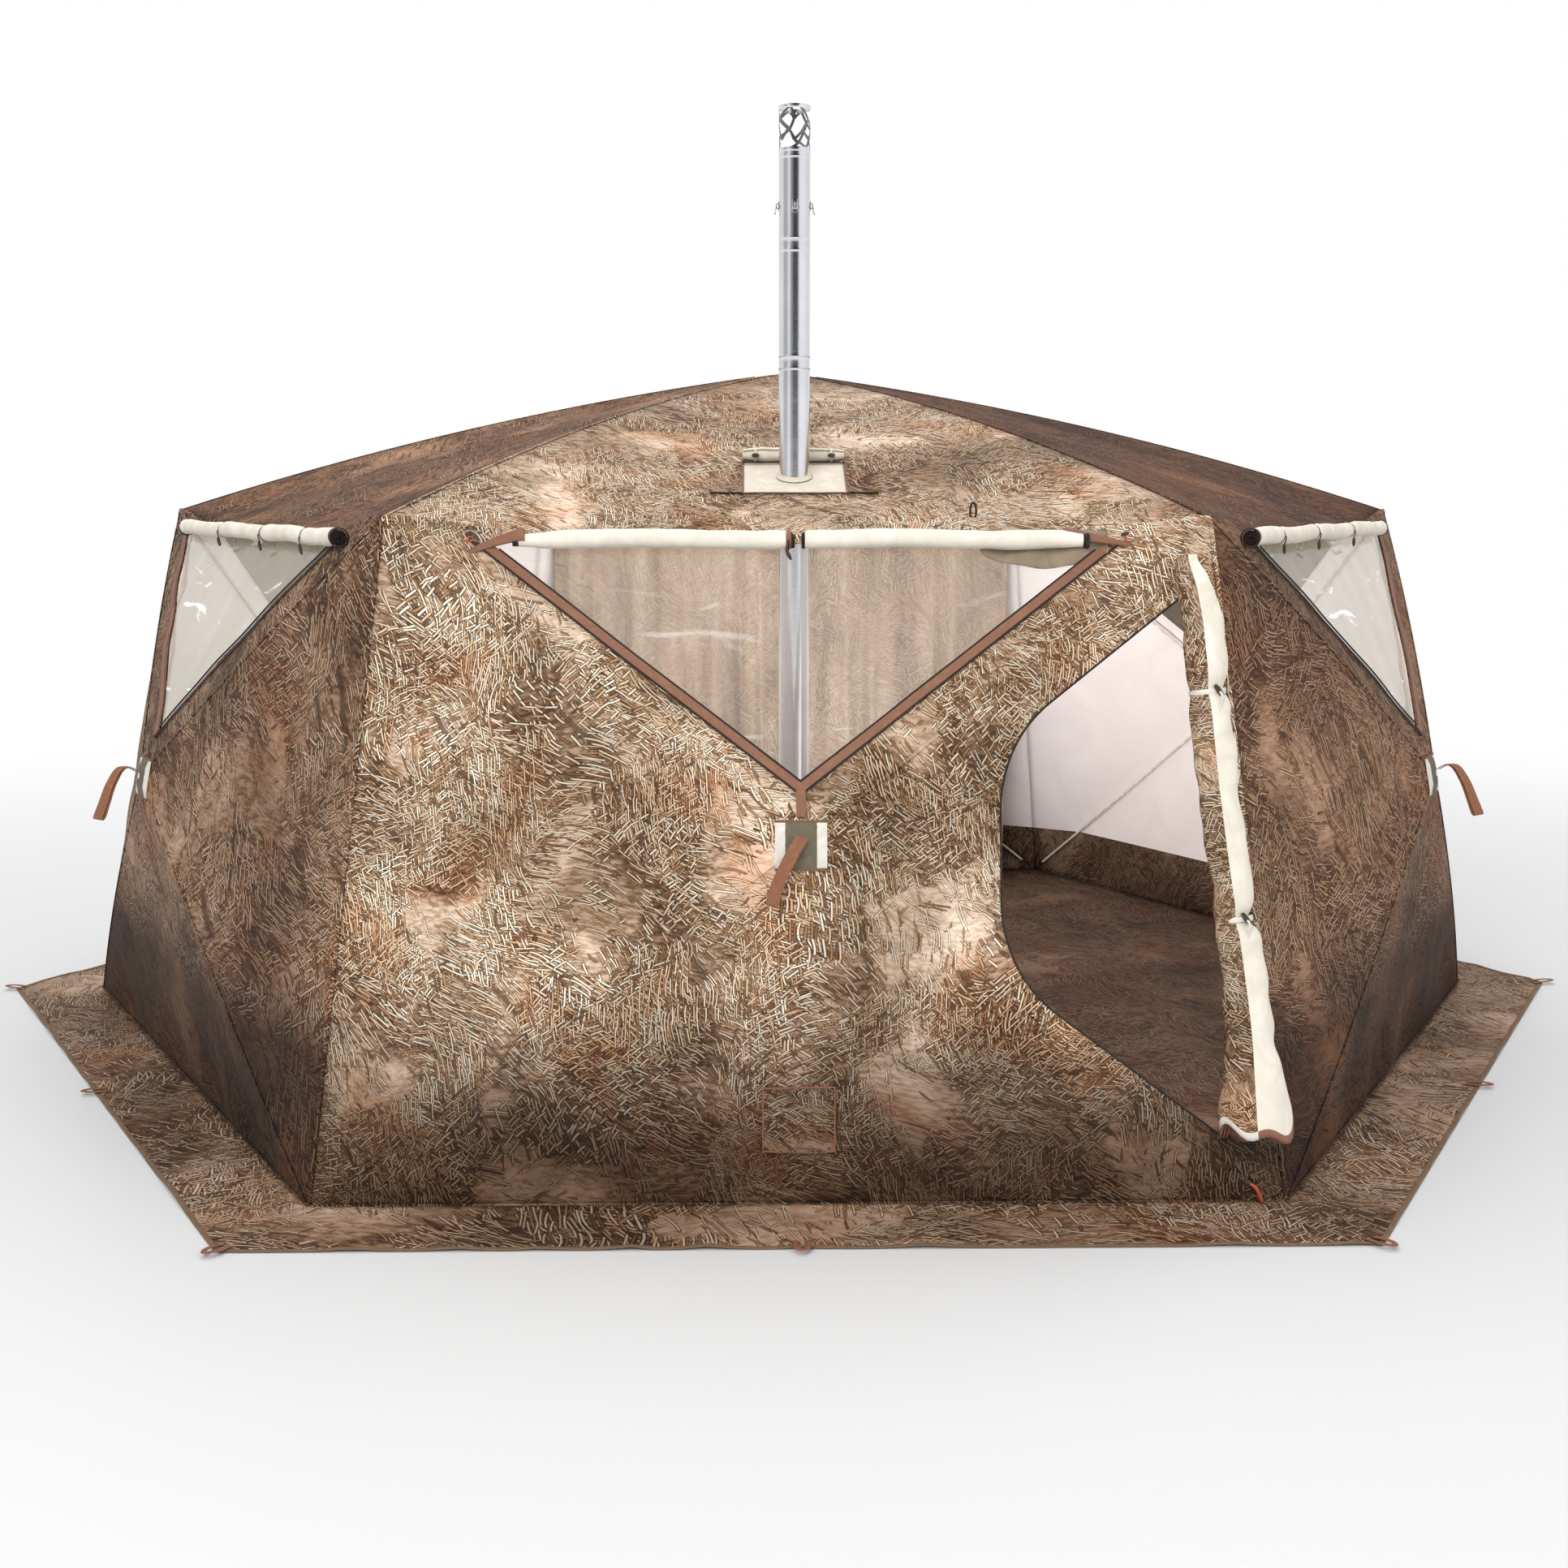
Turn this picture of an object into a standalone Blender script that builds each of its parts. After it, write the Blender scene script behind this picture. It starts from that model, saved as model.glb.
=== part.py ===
"""Six-sided pop-up hub tent: fabric walls and roof on spring poles, a snow skirt, three film windows with
their covers rolled up, a door rolled to one side, a curtain before the back wall, and a stove pipe standing
in the roof jack.

Metres, +Z up. The origin is the middle of the floor, at ground level, and the door is on the -Y side.
"""
import math

import bmesh
import bpy
import numpy as np
from mathutils import Matrix, Vector

# Pitched tent: corner radii, heights, and how far each wall hub stands out of its flat wall
FLOOR_RADIUS = 2.2
EAVE_RADIUS = 1.88
EAVE_HEIGHT = 1.53
APEX_HEIGHT = 1.95
WALL_HUB_HEIGHT = 0.845
WALL_HUB_STAND_OUT = 0.235
SKIRT_WIDTH = 0.24

# Fabric
CLOTH = 0.002
FILM = 0.001
CORNER_NOTCH = 0.012
GAP = 0.0003

# Windows: bare cloth left beside the pole seams and under the eave
WINDOW_SEAM_MARGIN = 0.108
WINDOW_EAVE_MARGIN = 0.055

# Door hole: distance of its left end from the wall's middle, cloth left at its other sides, corner rounding
DOOR_REACH = 0.44
DOOR_CORNER_MARGIN = 0.07
DOOR_UPPER_MARGIN = 0.1
DOOR_LOWER_MARGIN = 0.035
DOOR_ROUNDING = 0.3
DOOR_FOOT_ROUNDING = 0.05
DOOR_ARC_STEPS = 6

# Rolled covers: a strip of padded cloth wound up round an open middle
ROLL_CLOTH = 0.003
ROLL_PITCH = 0.005
ROLL_STEPS = 12
WINDOW_ROLL_RADIUS = 0.025
WINDOW_ROLL_DROP = 0.034
WINDOW_ROLL_SPLIT = 0.008
FRONT_ROLL_LEFT = 0.7
FRONT_ROLL_RIGHT = 0.64
SIDE_ROLL_REACH = 0.72
DOOR_ROLL_RADIUS = 0.033
DOOR_ROLL_TOP_MARGIN = 0.13
DOOR_ROLL_FOOT_MARGIN = 0.1

# Curtain hanging from the back wall's eave: its width to each side, how far it stays under the eave and above
# the floor, and its folds
CURTAIN_HALF_WIDTH = 0.86
CURTAIN_TOP_DROP = 0.03
CURTAIN_FOOT = 0.06
CURTAIN_FOLDS = 16
CURTAIN_FOLD_DEPTH = 0.03
CURTAIN_HEAD_DEPTH = 0.01
CURTAIN_FOLD_STEPS = 6

# Chimney and the patch that it stands in
PIPE_RADIUS = 0.0375
PIPE_WALL = 0.001
PIPE_SIDES = 24
PIPE_DISTANCE = 1.267
PIPE_FOOT = 0.62
LOWER_PIPE_LENGTH = 1.278
UPPER_PIPE_LENGTH = 0.277
ARRESTOR_LENGTH = 0.32
SPIGOT_LENGTH = 0.045
CAGE_LENGTH = 0.104
CAGE_RIM = 0.008
CAGE_BAR = 0.006
CAGE_WINDOWS = 10
JACK_WIDTH = 0.254
JACK_LENGTH = 0.23
JACK_ROLL_RADIUS = 0.018

# Poles
POLE_RADIUS = 0.0055
POLE_SIDES = 10
POLE_CLEARANCE = 0.0012
TIP_RADIUS = 0.0065
TIP_LENGTH = 0.03
TIP_SHORTFALL = 0.04
ROOF_TIP_SHORTFALL = 0.075
TONGUE_WIDTH = 0.008
TONGUE_HEIGHT = 0.009
TONGUE_BACK = 0.006
ROD_START = 0.009
ROD_OVERLAP = 0.004

# Hub castings
PIN_RING = 0.03
PIN_RADIUS = 0.0025
PIN_SIDES = 12
PIN_TO_WEB = 0.0065
EAR = 0.004
EAR_REACH = 0.006
EAR_DROP = 0.0055
WEB = 0.003
CASTING_DEPTH = 0.0215
PATCH_HALF = 0.04
ROOF_PATCH_RADIUS = 0.064
PATCH_CLOTH = 0.002
POST_RADIUS = 0.0035
POST_SIDES = 16
BUTTON_HEIGHT = 0.002

# Pull straps, sewn to the covers of the wall hubs
STRAP_WIDTH = 0.025
STRAP_CLOTH = 0.004
STRAP_LENGTH = 0.14
STRAP_STAND_OUT = 0.009

# How far a cutter runs past what it cuts
OVERRUN = 0.004

WALL_NAMES = ["front", "front_right", "back_right", "back", "back_left", "front_left"]
WINDOW_WALLS = ["front", "front_right", "front_left"]
ROOF_POLE_NAMES = ["front_left", "front_right", "right", "back_right", "back_left", "left"]
WALL_POLE_NAMES = ["upper_right", "upper_left", "lower_left", "lower_right"]
TURN = math.radians(60)
INSIDE = Vector((0, 0, WALL_HUB_HEIGHT))

# name: colour, roughness, metallic
FINISHES = {
    "camouflage": ((0.45, 0.33, 0.22), 0.85, 0),
    "cream_cloth": ((0.80, 0.76, 0.68), 0.8, 0),
    "curtain_cloth": ((0.42, 0.31, 0.22), 0.85, 0),
    "floor_cloth": ((0.20, 0.15, 0.11), 0.7, 0),
    "clear_film": ((0.70, 0.72, 0.70), 0.15, 0),
    "jack_cloth": ((0.76, 0.72, 0.62), 0.7, 0),
    "moulded_plastic": ((0.03, 0.03, 0.03), 0.45, 0),
    "glass_fibre": ((0.60, 0.58, 0.52), 0.4, 0),
    "steel": ((0.62, 0.62, 0.63), 0.25, 1),
}


def corner(radius, degrees, height):
    """Point of a level hexagon."""
    angle = math.radians(degrees)
    return Vector((radius * math.cos(angle), radius * math.sin(angle), height))


def turned(vector, steps):
    """The vector turned about +Z by a number of wall steps."""
    return Matrix.Rotation(steps * TURN, 3, "Z") @ vector


def face_normal(a, b, c):
    """Unit normal of the plane through three points, pointing out of the tent."""
    normal = (b - a).cross(c - a).normalized()
    return normal if (a - INSIDE).dot(normal) > 0 else -normal


# Corners of the front wall, seen from outside, and the tip where its four panels meet
BOTTOM_LEFT = corner(FLOOR_RADIUS, -120, 0)
BOTTOM_RIGHT = corner(FLOOR_RADIUS, -60, 0)
TOP_LEFT = corner(EAVE_RADIUS, -120, EAVE_HEIGHT)
TOP_RIGHT = corner(EAVE_RADIUS, -60, EAVE_HEIGHT)
APEX = Vector((0, 0, APEX_HEIGHT))
ACROSS = Vector((1, 0, 0))
BEHIND = Vector((0, 1, 0))
FOOT = (BOTTOM_LEFT + BOTTOM_RIGHT) / 2
HEAD = (TOP_LEFT + TOP_RIGHT) / 2
WALL_UP = (HEAD - FOOT).normalized()
WALL_OUT = ACROSS.cross(WALL_UP)
WALL_TIP = FOOT.lerp(HEAD, WALL_HUB_HEIGHT / EAVE_HEIGHT) - Vector((0, WALL_HUB_STAND_OUT, 0))
ROOF_UP = (APEX - HEAD).normalized()

TOP = face_normal(TOP_LEFT, TOP_RIGHT, WALL_TIP)
RIGHT = face_normal(TOP_RIGHT, BOTTOM_RIGHT, WALL_TIP)
BOTTOM = face_normal(BOTTOM_RIGHT, BOTTOM_LEFT, WALL_TIP)
LEFT = face_normal(BOTTOM_LEFT, TOP_LEFT, WALL_TIP)
ROOF = face_normal(TOP_LEFT, TOP_RIGHT, APEX)


def meeting(planes):
    """Point that three planes share, each given as a point and a normal."""
    normals = np.array([tuple(normal) for _, normal in planes])
    return Vector(np.linalg.solve(normals, [point.dot(normal) for point, normal in planes]))


def plate(point, normal, thickness, sides):
    """Flat plate: its outer face lies on the given plane, and its sides, in order round it, on theirs."""
    outer, inner = (
        [meeting(((base, normal), side, following)) for side, following in zip(sides, sides[1:] + sides[:1])]
        for base in (point, point - normal * thickness)
    )
    return prism(outer, inner)


def prism(first, second):
    """Closed solid between two loops with as many points each."""
    count = len(first)
    faces = [tuple(range(count)), tuple(reversed(range(count, 2 * count)))]
    for k in range(count):
        following = (k + 1) % count
        faces.append((k, count + k, count + following, following))
    return first + second, faces


def ring(loops):
    """Closed solid whose surface runs from loop to loop and back to the first."""
    count = len(loops[0])
    points = [point for loop in loops for point in loop]
    faces = []
    for row in range(len(loops)):
        below = (row + 1) % len(loops)
        for k in range(count):
            following = (k + 1) % count
            faces.append(
                (row * count + k, row * count + following, below * count + following, below * count + k)
            )
    return points, faces


def circle(radius, sides, height=0):
    """Points of a level circle about +Z."""
    return [
        Vector((radius * math.cos(angle), radius * math.sin(angle), height))
        for angle in (k * math.tau / sides for k in range(sides))
    ]


def rod(radius, start, end, sides):
    """Cylinder between two points."""
    span = end - start
    turn = span.to_track_quat("Z", "Y").to_matrix()
    rim = [turn @ point for point in circle(radius, sides)]
    return prism([start + point for point in rim], [end + point for point in rim])


def block(low, high):
    """Box between two corners."""
    base = [(low.x, low.y), (high.x, low.y), (high.x, high.y), (low.x, high.y)]
    return prism([Vector((x, y, low.z)) for x, y in base], [Vector((x, y, high.z)) for x, y in base])


def moved(solid, matrix):
    """The solid with every point put through the matrix."""
    points, faces = solid
    return [matrix @ point for point in points], faces


def mesh_of(name, solids):
    """One mesh holding the solids, with every face pointing out."""
    mesh = bpy.data.meshes.new(name)
    points, faces = [], []
    for solid_points, solid_faces in solids:
        faces += [tuple(len(points) + k for k in face) for face in solid_faces]
        points += solid_points
    mesh.from_pydata(points, [], faces)
    shell = bmesh.new()
    shell.from_mesh(mesh)
    bmesh.ops.recalc_face_normals(shell, faces=shell.faces)
    shell.to_mesh(mesh)
    shell.free()
    return mesh


def carved(mesh, *steps):
    """The mesh after a row of exact Booleans, each an operation and the solids that it uses."""
    body = bpy.data.objects.new(mesh.name, mesh)
    bpy.context.collection.objects.link(body)
    for operation, solids in steps:
        cutter = bpy.data.objects.new("cutter", mesh_of("cutter", solids))
        bpy.context.collection.objects.link(cutter)
        modifier = body.modifiers.new(operation, "BOOLEAN")
        modifier.operation = operation
        modifier.object = cutter
        modifier.solver = "EXACT"
        view = bpy.context.evaluated_depsgraph_get()
        result = bpy.data.meshes.new_from_object(body.evaluated_get(view))
        body.modifiers.clear()
        body.data = result
        bpy.data.objects.remove(cutter)
    bpy.data.objects.remove(body)
    return result


def material(name):
    """Material with the finish's colour, roughness and metallic value."""
    found = bpy.data.materials.get(name)
    if found:
        return found
    colour, roughness, metallic = FINISHES[name]
    made = bpy.data.materials.new(name)
    made.use_nodes = True
    shader = made.node_tree.nodes["Principled BSDF"]
    shader.inputs["Base Color"].default_value = (*colour, 1)
    shader.inputs["Roughness"].default_value = roughness
    shader.inputs["Metallic"].default_value = metallic
    return made


def place(name, mesh, finish, matrix=Matrix.Identity(4), smooth_degrees=None):
    """Object of the mesh, at a place, with its material."""
    if not mesh.materials:
        mesh.materials.append(material(finish))
    if smooth_degrees:
        mesh.shade_smooth()
        mesh.set_sharp_from_angle(angle=math.radians(smooth_degrees))
    item = bpy.data.objects.new(name, mesh)
    item.matrix_world = matrix
    bpy.context.collection.objects.link(item)
    return item


def wall_turn(steps):
    """Matrix that turns the front wall to another wall."""
    return Matrix.Rotation(steps * TURN, 4, "Z")


def axes_at(origin, x_axis, y_axis, z_axis):
    """Matrix that puts a local frame at a point."""
    turn = Matrix((x_axis, y_axis, z_axis)).transposed()
    return Matrix.Translation(origin) @ turn.to_4x4()


def mitre(a, b, here, there, middle):
    """Side plane of a panel at its seam a-b: halfway between the two panels' slopes, half a gap back."""
    normal = (b - a).cross(here + there).normalized()
    if (middle - a).dot(normal) > 0:
        normal = -normal
    return a - normal * GAP / 2, normal


def notch(point, tip):
    """Side plane that takes the panels' points off at a corner."""
    inward = (tip - point).normalized()
    return point + inward * CORNER_NOTCH, -inward


def patch_end(point, axis, tip):
    """Side plane where a pole seam ends at the hub's cover patch."""
    outward = point - tip
    return point, (outward - axis * outward.dot(axis)).normalized()


def beside(line_start, line_end, face, middle, distance):
    """Point and direction of a line in a panel, parallel to one of its edges at a distance inwards."""
    inward = face.cross(line_end - line_start).normalized()
    if (middle - line_start).dot(inward) < 0:
        inward = -inward
    return line_start + inward * distance, inward


def on_seam(corner_point, height):
    """Point on the seam from the front wall's tip to a corner, at a height up the wall from the tip."""
    seam = corner_point - WALL_TIP
    return WALL_TIP + seam * (height / seam.dot(WALL_UP))


PATCH_CORNERS = [
    on_seam(TOP_RIGHT, PATCH_HALF),
    on_seam(TOP_LEFT, PATCH_HALF),
    on_seam(BOTTOM_LEFT, -PATCH_HALF),
    on_seam(BOTTOM_RIGHT, -PATCH_HALF),
]
PANEL_CORNERS = [TOP_RIGHT, TOP_LEFT, BOTTOM_LEFT, BOTTOM_RIGHT]
PANEL_NORMALS = [TOP, LEFT, BOTTOM, RIGHT]


def panels_round(tip, axis, corners, normals, edges, patch_corners):
    """Corner points of the panels that meet at a tip. Each is given by the panels and side planes it is on.

    Seam k runs from the tip to corner k and joins panels k - 1 and k. Its corner is notched there.
    """
    points = {}
    for k, (point, patch_point) in enumerate(zip(corners, patch_corners)):
        last = (k - 1) % len(corners)
        cut = notch(point, tip)
        points["last", k] = ([last], [edges[last], cut])
        points["seam", k] = ([last, k], [cut])
        points["next", k] = ([k], [edges[k], cut])
        points["patch", k] = ([last, k], [patch_end(patch_point, axis, tip)])
    return points


def whole_panel(k, count):
    """Corners of one uncut panel."""
    after = (k + 1) % count
    return [("next", k), ("last", after), ("seam", after), ("patch", after), ("patch", k), ("seam", k)]


def shell(tip, normals, points, outlines):
    """Folded sheet of cloth: flat panels through the tip, whose outlines share their corner points."""
    names = list(points)
    solid_points = []
    for depth in (0, CLOTH):
        for panels, sides in points.values():
            planes = [(tip - normals[k] * depth, normals[k]) for k in panels]
            solid_points.append(meeting(planes + sides))
    count = len(names)
    faces, edges = [], {}
    for outline in outlines:
        loop = [names.index(name) for name in outline]
        faces += [tuple(loop), tuple(k + count for k in loop)]
        for a, b in zip(loop, loop[1:] + loop[:1]):
            edges.setdefault((min(a, b), max(a, b)), []).append((a, b))
    for uses in edges.values():
        if len(uses) == 1:
            a, b = uses[0]
            faces.append((a, b, b + count, a + count))
    return solid_points, faces


def wall_points():
    """Corner points of the front wall's four panels."""
    level = (FOOT, Vector((0, 0, -1)))
    edges = [
        mitre(TOP_RIGHT, TOP_LEFT, TOP, ROOF, WALL_TIP),
        mitre(TOP_LEFT, BOTTOM_LEFT, LEFT, turned(RIGHT, -1), WALL_TIP),
        level,
        mitre(BOTTOM_RIGHT, TOP_RIGHT, RIGHT, turned(LEFT, 1), WALL_TIP),
    ]
    return panels_round(WALL_TIP, WALL_OUT, PANEL_CORNERS, PANEL_NORMALS, edges, PATCH_CORNERS)


def plain_wall():
    """Wall of four whole panels."""
    return shell(WALL_TIP, PANEL_NORMALS, wall_points(), [whole_panel(k, 4) for k in range(4)])


def window_lines():
    """The window's three sides in the top panel, each a point and the direction towards the film."""
    middle = (TOP_LEFT + TOP_RIGHT + WALL_TIP) / 3
    return (
        beside(TOP_LEFT, TOP_RIGHT, TOP, middle, WINDOW_EAVE_MARGIN),
        beside(WALL_TIP, TOP_LEFT, TOP, middle, WINDOW_SEAM_MARGIN),
        beside(WALL_TIP, TOP_RIGHT, TOP, middle, WINDOW_SEAM_MARGIN),
    )


def glazed_wall():
    """Wall whose top panel is a strip under the eave and one beside each pole seam, round the window."""
    head, left_side, right_side = window_lines()
    points = wall_points()
    points["head", 0] = ([0], [head, right_side])
    points["head", 1] = ([0], [head, left_side])
    points["window", 0] = ([0], [left_side, right_side])
    strips = [
        [("next", 0), ("last", 1), ("seam", 1), ("head", 1), ("head", 0), ("seam", 0)],
        [("seam", 1), ("patch", 1), ("window", 0), ("head", 1)],
        [("seam", 0), ("head", 0), ("window", 0), ("patch", 1), ("patch", 0)],
    ]
    return shell(WALL_TIP, PANEL_NORMALS, points, strips + [whole_panel(k, 4) for k in (1, 2, 3)])


def window_film():
    """Clear film that fills the window."""
    sides = [(point + inward * GAP, -inward) for point, inward in window_lines()]
    return plate(WALL_TIP, TOP, FILM, sides)


def crossing(first, second):
    """Point of the flat wall where two lines cross, each given as a point and a direction."""
    (p, d), (q, e) = first, second
    along, _ = np.linalg.solve([[d[0], -e[0]], [d[1], -e[1]]], [q[0] - p[0], q[1] - p[1]])
    return Vector((p[0] + along * d[0], p[1] + along * d[1]))


def rounded(points, radii):
    """Flat outline with an arc in place of each corner that has a radius."""
    outline = []
    for k, (point, radius) in enumerate(zip(points, radii)):
        if not radius:
            outline.append(point)
            continue
        to_last = (points[k - 1] - point).normalized()
        to_next = (points[(k + 1) % len(points)] - point).normalized()
        half = to_last.angle(to_next) / 2
        centre = point + (to_last + to_next).normalized() * (radius / math.sin(half))
        start = point + to_last * (radius / math.tan(half)) - centre
        end = point + to_next * (radius / math.tan(half)) - centre
        for step in range(DOOR_ARC_STEPS + 1):
            outline.append(centre + start.slerp(end, step / DOOR_ARC_STEPS).normalized() * radius)
    return outline


def on_wall(point):
    """A point's place on the flat front wall, across and up from the middle of its foot."""
    return Vector(((point - FOOT).dot(ACROSS), (point - FOOT).dot(WALL_UP)))


def door_outline():
    """The door hole on the flat wall: straight beside the tent's corner, rounded towards the hub."""
    tip, top, foot = on_wall(WALL_TIP), on_wall(TOP_RIGHT), on_wall(BOTTOM_RIGHT)
    upper, lower, edge = (top - tip).normalized(), (foot - tip).normalized(), (top - foot).normalized()
    upper_line = (tip + Vector((upper.y, -upper.x)) * DOOR_UPPER_MARGIN, upper)
    lower_line = (tip + Vector((-lower.y, lower.x)) * DOOR_LOWER_MARGIN, lower)
    corner_line = (foot + Vector((-edge.y, edge.x)) * DOOR_CORNER_MARGIN, edge)
    reach_line = (Vector((DOOR_REACH, 0)), Vector((0, 1)))
    points = [
        crossing(corner_line, upper_line),
        crossing(upper_line, reach_line),
        crossing(reach_line, lower_line),
        crossing(lower_line, corner_line),
    ]
    return rounded(points, [0, DOOR_ROUNDING, DOOR_ROUNDING, DOOR_FOOT_ROUNDING])


def front_wall():
    """Wall with a window, and the door hole cut in its right panel."""
    outline = [FOOT + ACROSS * flat.x + WALL_UP * flat.y for flat in door_outline()]
    reach = WALL_OUT * (WALL_HUB_STAND_OUT + OVERRUN)
    cutter = prism([point - reach for point in outline], [point + reach for point in outline])
    return carved(mesh_of("front_wall", [glazed_wall()]), ("DIFFERENCE", [cutter]))


def roof_patch_corner(which):
    """Corner of the roof hub's cover patch, on the roof seam of that number."""
    seam = turned(TOP_LEFT, which) - APEX
    return APEX + seam * (ROOF_PATCH_RADIUS / seam.to_2d().length)


def jack_height(distance):
    """Point of the roof's middle line at a distance in front of the tent's centre."""
    return HEAD + ROOF_UP * ((-HEAD.y - distance) / ROOF_UP.y)


PIPE_AXIS = Vector((0, -PIPE_DISTANCE, 0))
LOWER_JOINT_HEIGHT = PIPE_FOOT + LOWER_PIPE_LENGTH
UPPER_JOINT_HEIGHT = LOWER_JOINT_HEIGHT + UPPER_PIPE_LENGTH
CHIMNEY_TOP = UPPER_JOINT_HEIGHT + ARRESTOR_LENGTH
JACK_MIDDLE = jack_height(PIPE_DISTANCE)
CURTAIN_HEAD = (Vector((0, 0, EAVE_HEIGHT - CURTAIN_TOP_DROP)), Vector((0, 0, 1)))


def jack_sides(clearance):
    """Side planes of the stove jack's patch, moved out by a clearance."""
    side = ACROSS * (JACK_WIDTH / 2 + clearance)
    length = ROOF_UP * (JACK_LENGTH / 2 + clearance)
    return [
        (JACK_MIDDLE - length, -ROOF_UP),
        (side, ACROSS),
        (JACK_MIDDLE + length, ROOF_UP),
        (-side, -ACROSS),
    ]


def roof_mesh():
    """Six roof panels, the front one with a hole for the stove jack's patch."""
    eave_point, eave_normal = mitre(TOP_LEFT, TOP_RIGHT, ROOF, TOP, APEX)
    steps = range(6)
    edges = [(turned(eave_point, step), turned(eave_normal, step)) for step in steps]
    normals = [turned(ROOF, step) for step in steps]
    corners = [turned(TOP_LEFT, step) for step in steps]
    patch_corners = [roof_patch_corner(step) for step in steps]
    points = panels_round(APEX, Vector((0, 0, 1)), corners, normals, edges, patch_corners)
    panels = shell(APEX, normals, points, [whole_panel(step, 6) for step in steps])
    hole = plate(APEX + ROOF * OVERRUN, ROOF, CLOTH + 2 * OVERRUN, jack_sides(GAP))
    return carved(mesh_of("roof", [panels]), ("DIFFERENCE", [hole]))


def jack_mesh():
    """Stove jack: a patch in the roof with a round hole that the upright pipe passes."""
    height = Vector((0, 0, JACK_LENGTH))
    middle = PIPE_AXIS + Vector((0, 0, JACK_MIDDLE.z))
    hole = rod(PIPE_RADIUS + GAP, middle - height, middle + height, PIPE_SIDES)
    return carved(mesh_of("patch", [plate(APEX, ROOF, CLOTH, jack_sides(0))]), ("DIFFERENCE", [hole]))


def jack_roll():
    """Rain cover of the stove jack, rolled up along the patch's upper edge."""
    side = ACROSS * (JACK_WIDTH / 2)
    middle = JACK_MIDDLE + ROOF_UP * (JACK_LENGTH / 2) + ROOF * (JACK_ROLL_RADIUS + GAP)
    return spiral_roll(middle - side, middle + side, JACK_ROLL_RADIUS, ROOF)


def band(curves):
    """Closed strip from an outer and an inner curve at its start, and the same two at its end."""
    count = len(curves[0])
    points = [point for curve in curves for point in curve]
    start_outer, start_inner, end_outer, end_inner = (k * count for k in range(len(curves)))
    faces = []
    for k in range(count - 1):
        faces += [
            (start_outer + k, start_outer + k + 1, start_inner + k + 1, start_inner + k),
            (end_outer + k, end_inner + k, end_inner + k + 1, end_outer + k + 1),
            (start_outer + k, end_outer + k, end_outer + k + 1, start_outer + k + 1),
            (start_inner + k, start_inner + k + 1, end_inner + k + 1, end_inner + k),
        ]
    for k in (0, count - 1):
        faces.append((start_outer + k, start_inner + k, end_inner + k, end_outer + k))
    return points, faces


def spiral_roll(start, end, radius, outwards):
    """Cloth rolled up: a band of even thickness along a spiral, carried from start to end.

    The spiral starts at its full radius, on the side that lies on the tent.
    """
    along = (end - start).normalized()
    beside_roll = outwards.cross(along)
    turns = int((radius - ROLL_CLOTH) / ROLL_PITCH)
    steps = turns * ROLL_STEPS
    outer, inner = [], []
    for step in range(steps + 1):
        angle = step * math.tau / ROLL_STEPS
        ray = beside_roll * math.sin(angle) - outwards * math.cos(angle)
        reach = radius - ROLL_PITCH * step / ROLL_STEPS
        outer.append(ray * reach)
        inner.append(ray * (reach - ROLL_CLOTH))
    least = min((inner[k] - outer[k + ROLL_STEPS]).length for k in range(steps + 1 - ROLL_STEPS))
    print("least gap in a roll:", round(least, 5))
    return band([[place + point for point in curve] for place in (start, end) for curve in (outer, inner)])


def curtain_curve(depth, height, side):
    """One face of the curtain at a height: a wave whose crests lie on the back wall's inner face."""
    steps = CURTAIN_FOLDS * CURTAIN_FOLD_STEPS
    seat = turned(meeting([(WALL_TIP - TOP * CLOTH, TOP), CURTAIN_HEAD, (FOOT, ACROSS)]), 3).y - GAP
    middle = seat - CLOTH / 2
    swell = math.pi * CURTAIN_FOLDS / CURTAIN_HALF_WIDTH
    curve = []
    for step in range(steps + 1):
        x = step * (CURTAIN_HALF_WIDTH + CURTAIN_HALF_WIDTH) / steps - CURTAIN_HALF_WIDTH
        slope = -depth / 2 * swell * math.sin(swell * (x + CURTAIN_HALF_WIDTH))
        out = (BEHIND - ACROSS * slope).normalized()
        y = middle - depth / 2 * (1 - math.cos(swell * (x + CURTAIN_HALF_WIDTH)))
        curve.append(Vector((x, y, height)) + out * (side * CLOTH / 2))
    return curve


def curtain():
    """Curtain before the back wall, its folds deeper at the foot than at the head."""
    levels = ((CURTAIN_HEAD_DEPTH, CURTAIN_HEAD[0].z), (CURTAIN_FOLD_DEPTH, CURTAIN_FOOT))
    return band([curtain_curve(depth, height, side) for depth, height in levels for side in (1, -1)])


def window_roll(left, right):
    """Window cover rolled up under the front wall's eave, from one distance across to another."""
    middle = (TOP_LEFT + TOP_RIGHT + WALL_TIP) / 3
    line, _ = beside(TOP_LEFT, TOP_RIGHT, TOP, middle, WINDOW_ROLL_DROP)
    centre = line - ACROSS * line.x + TOP * (WINDOW_ROLL_RADIUS + GAP)
    return spiral_roll(centre + ACROSS * left, centre + ACROSS * right, WINDOW_ROLL_RADIUS, TOP)


def door_roll():
    """Door panel rolled up beside the tent's corner, lying on the cloth at the hole's edge."""
    middle = (TOP_RIGHT + BOTTOM_RIGHT + WALL_TIP) / 3
    edge = (TOP_RIGHT - BOTTOM_RIGHT).normalized()
    line, _ = beside(BOTTOM_RIGHT, TOP_RIGHT, RIGHT, middle, DOOR_CORNER_MARGIN)
    line = line + RIGHT * (DOOR_ROLL_RADIUS + GAP)
    height = (TOP_RIGHT - BOTTOM_RIGHT).length - DOOR_ROLL_TOP_MARGIN
    return spiral_roll(line + edge * DOOR_ROLL_FOOT_MARGIN, line + edge * height, DOOR_ROLL_RADIUS, RIGHT)


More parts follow.
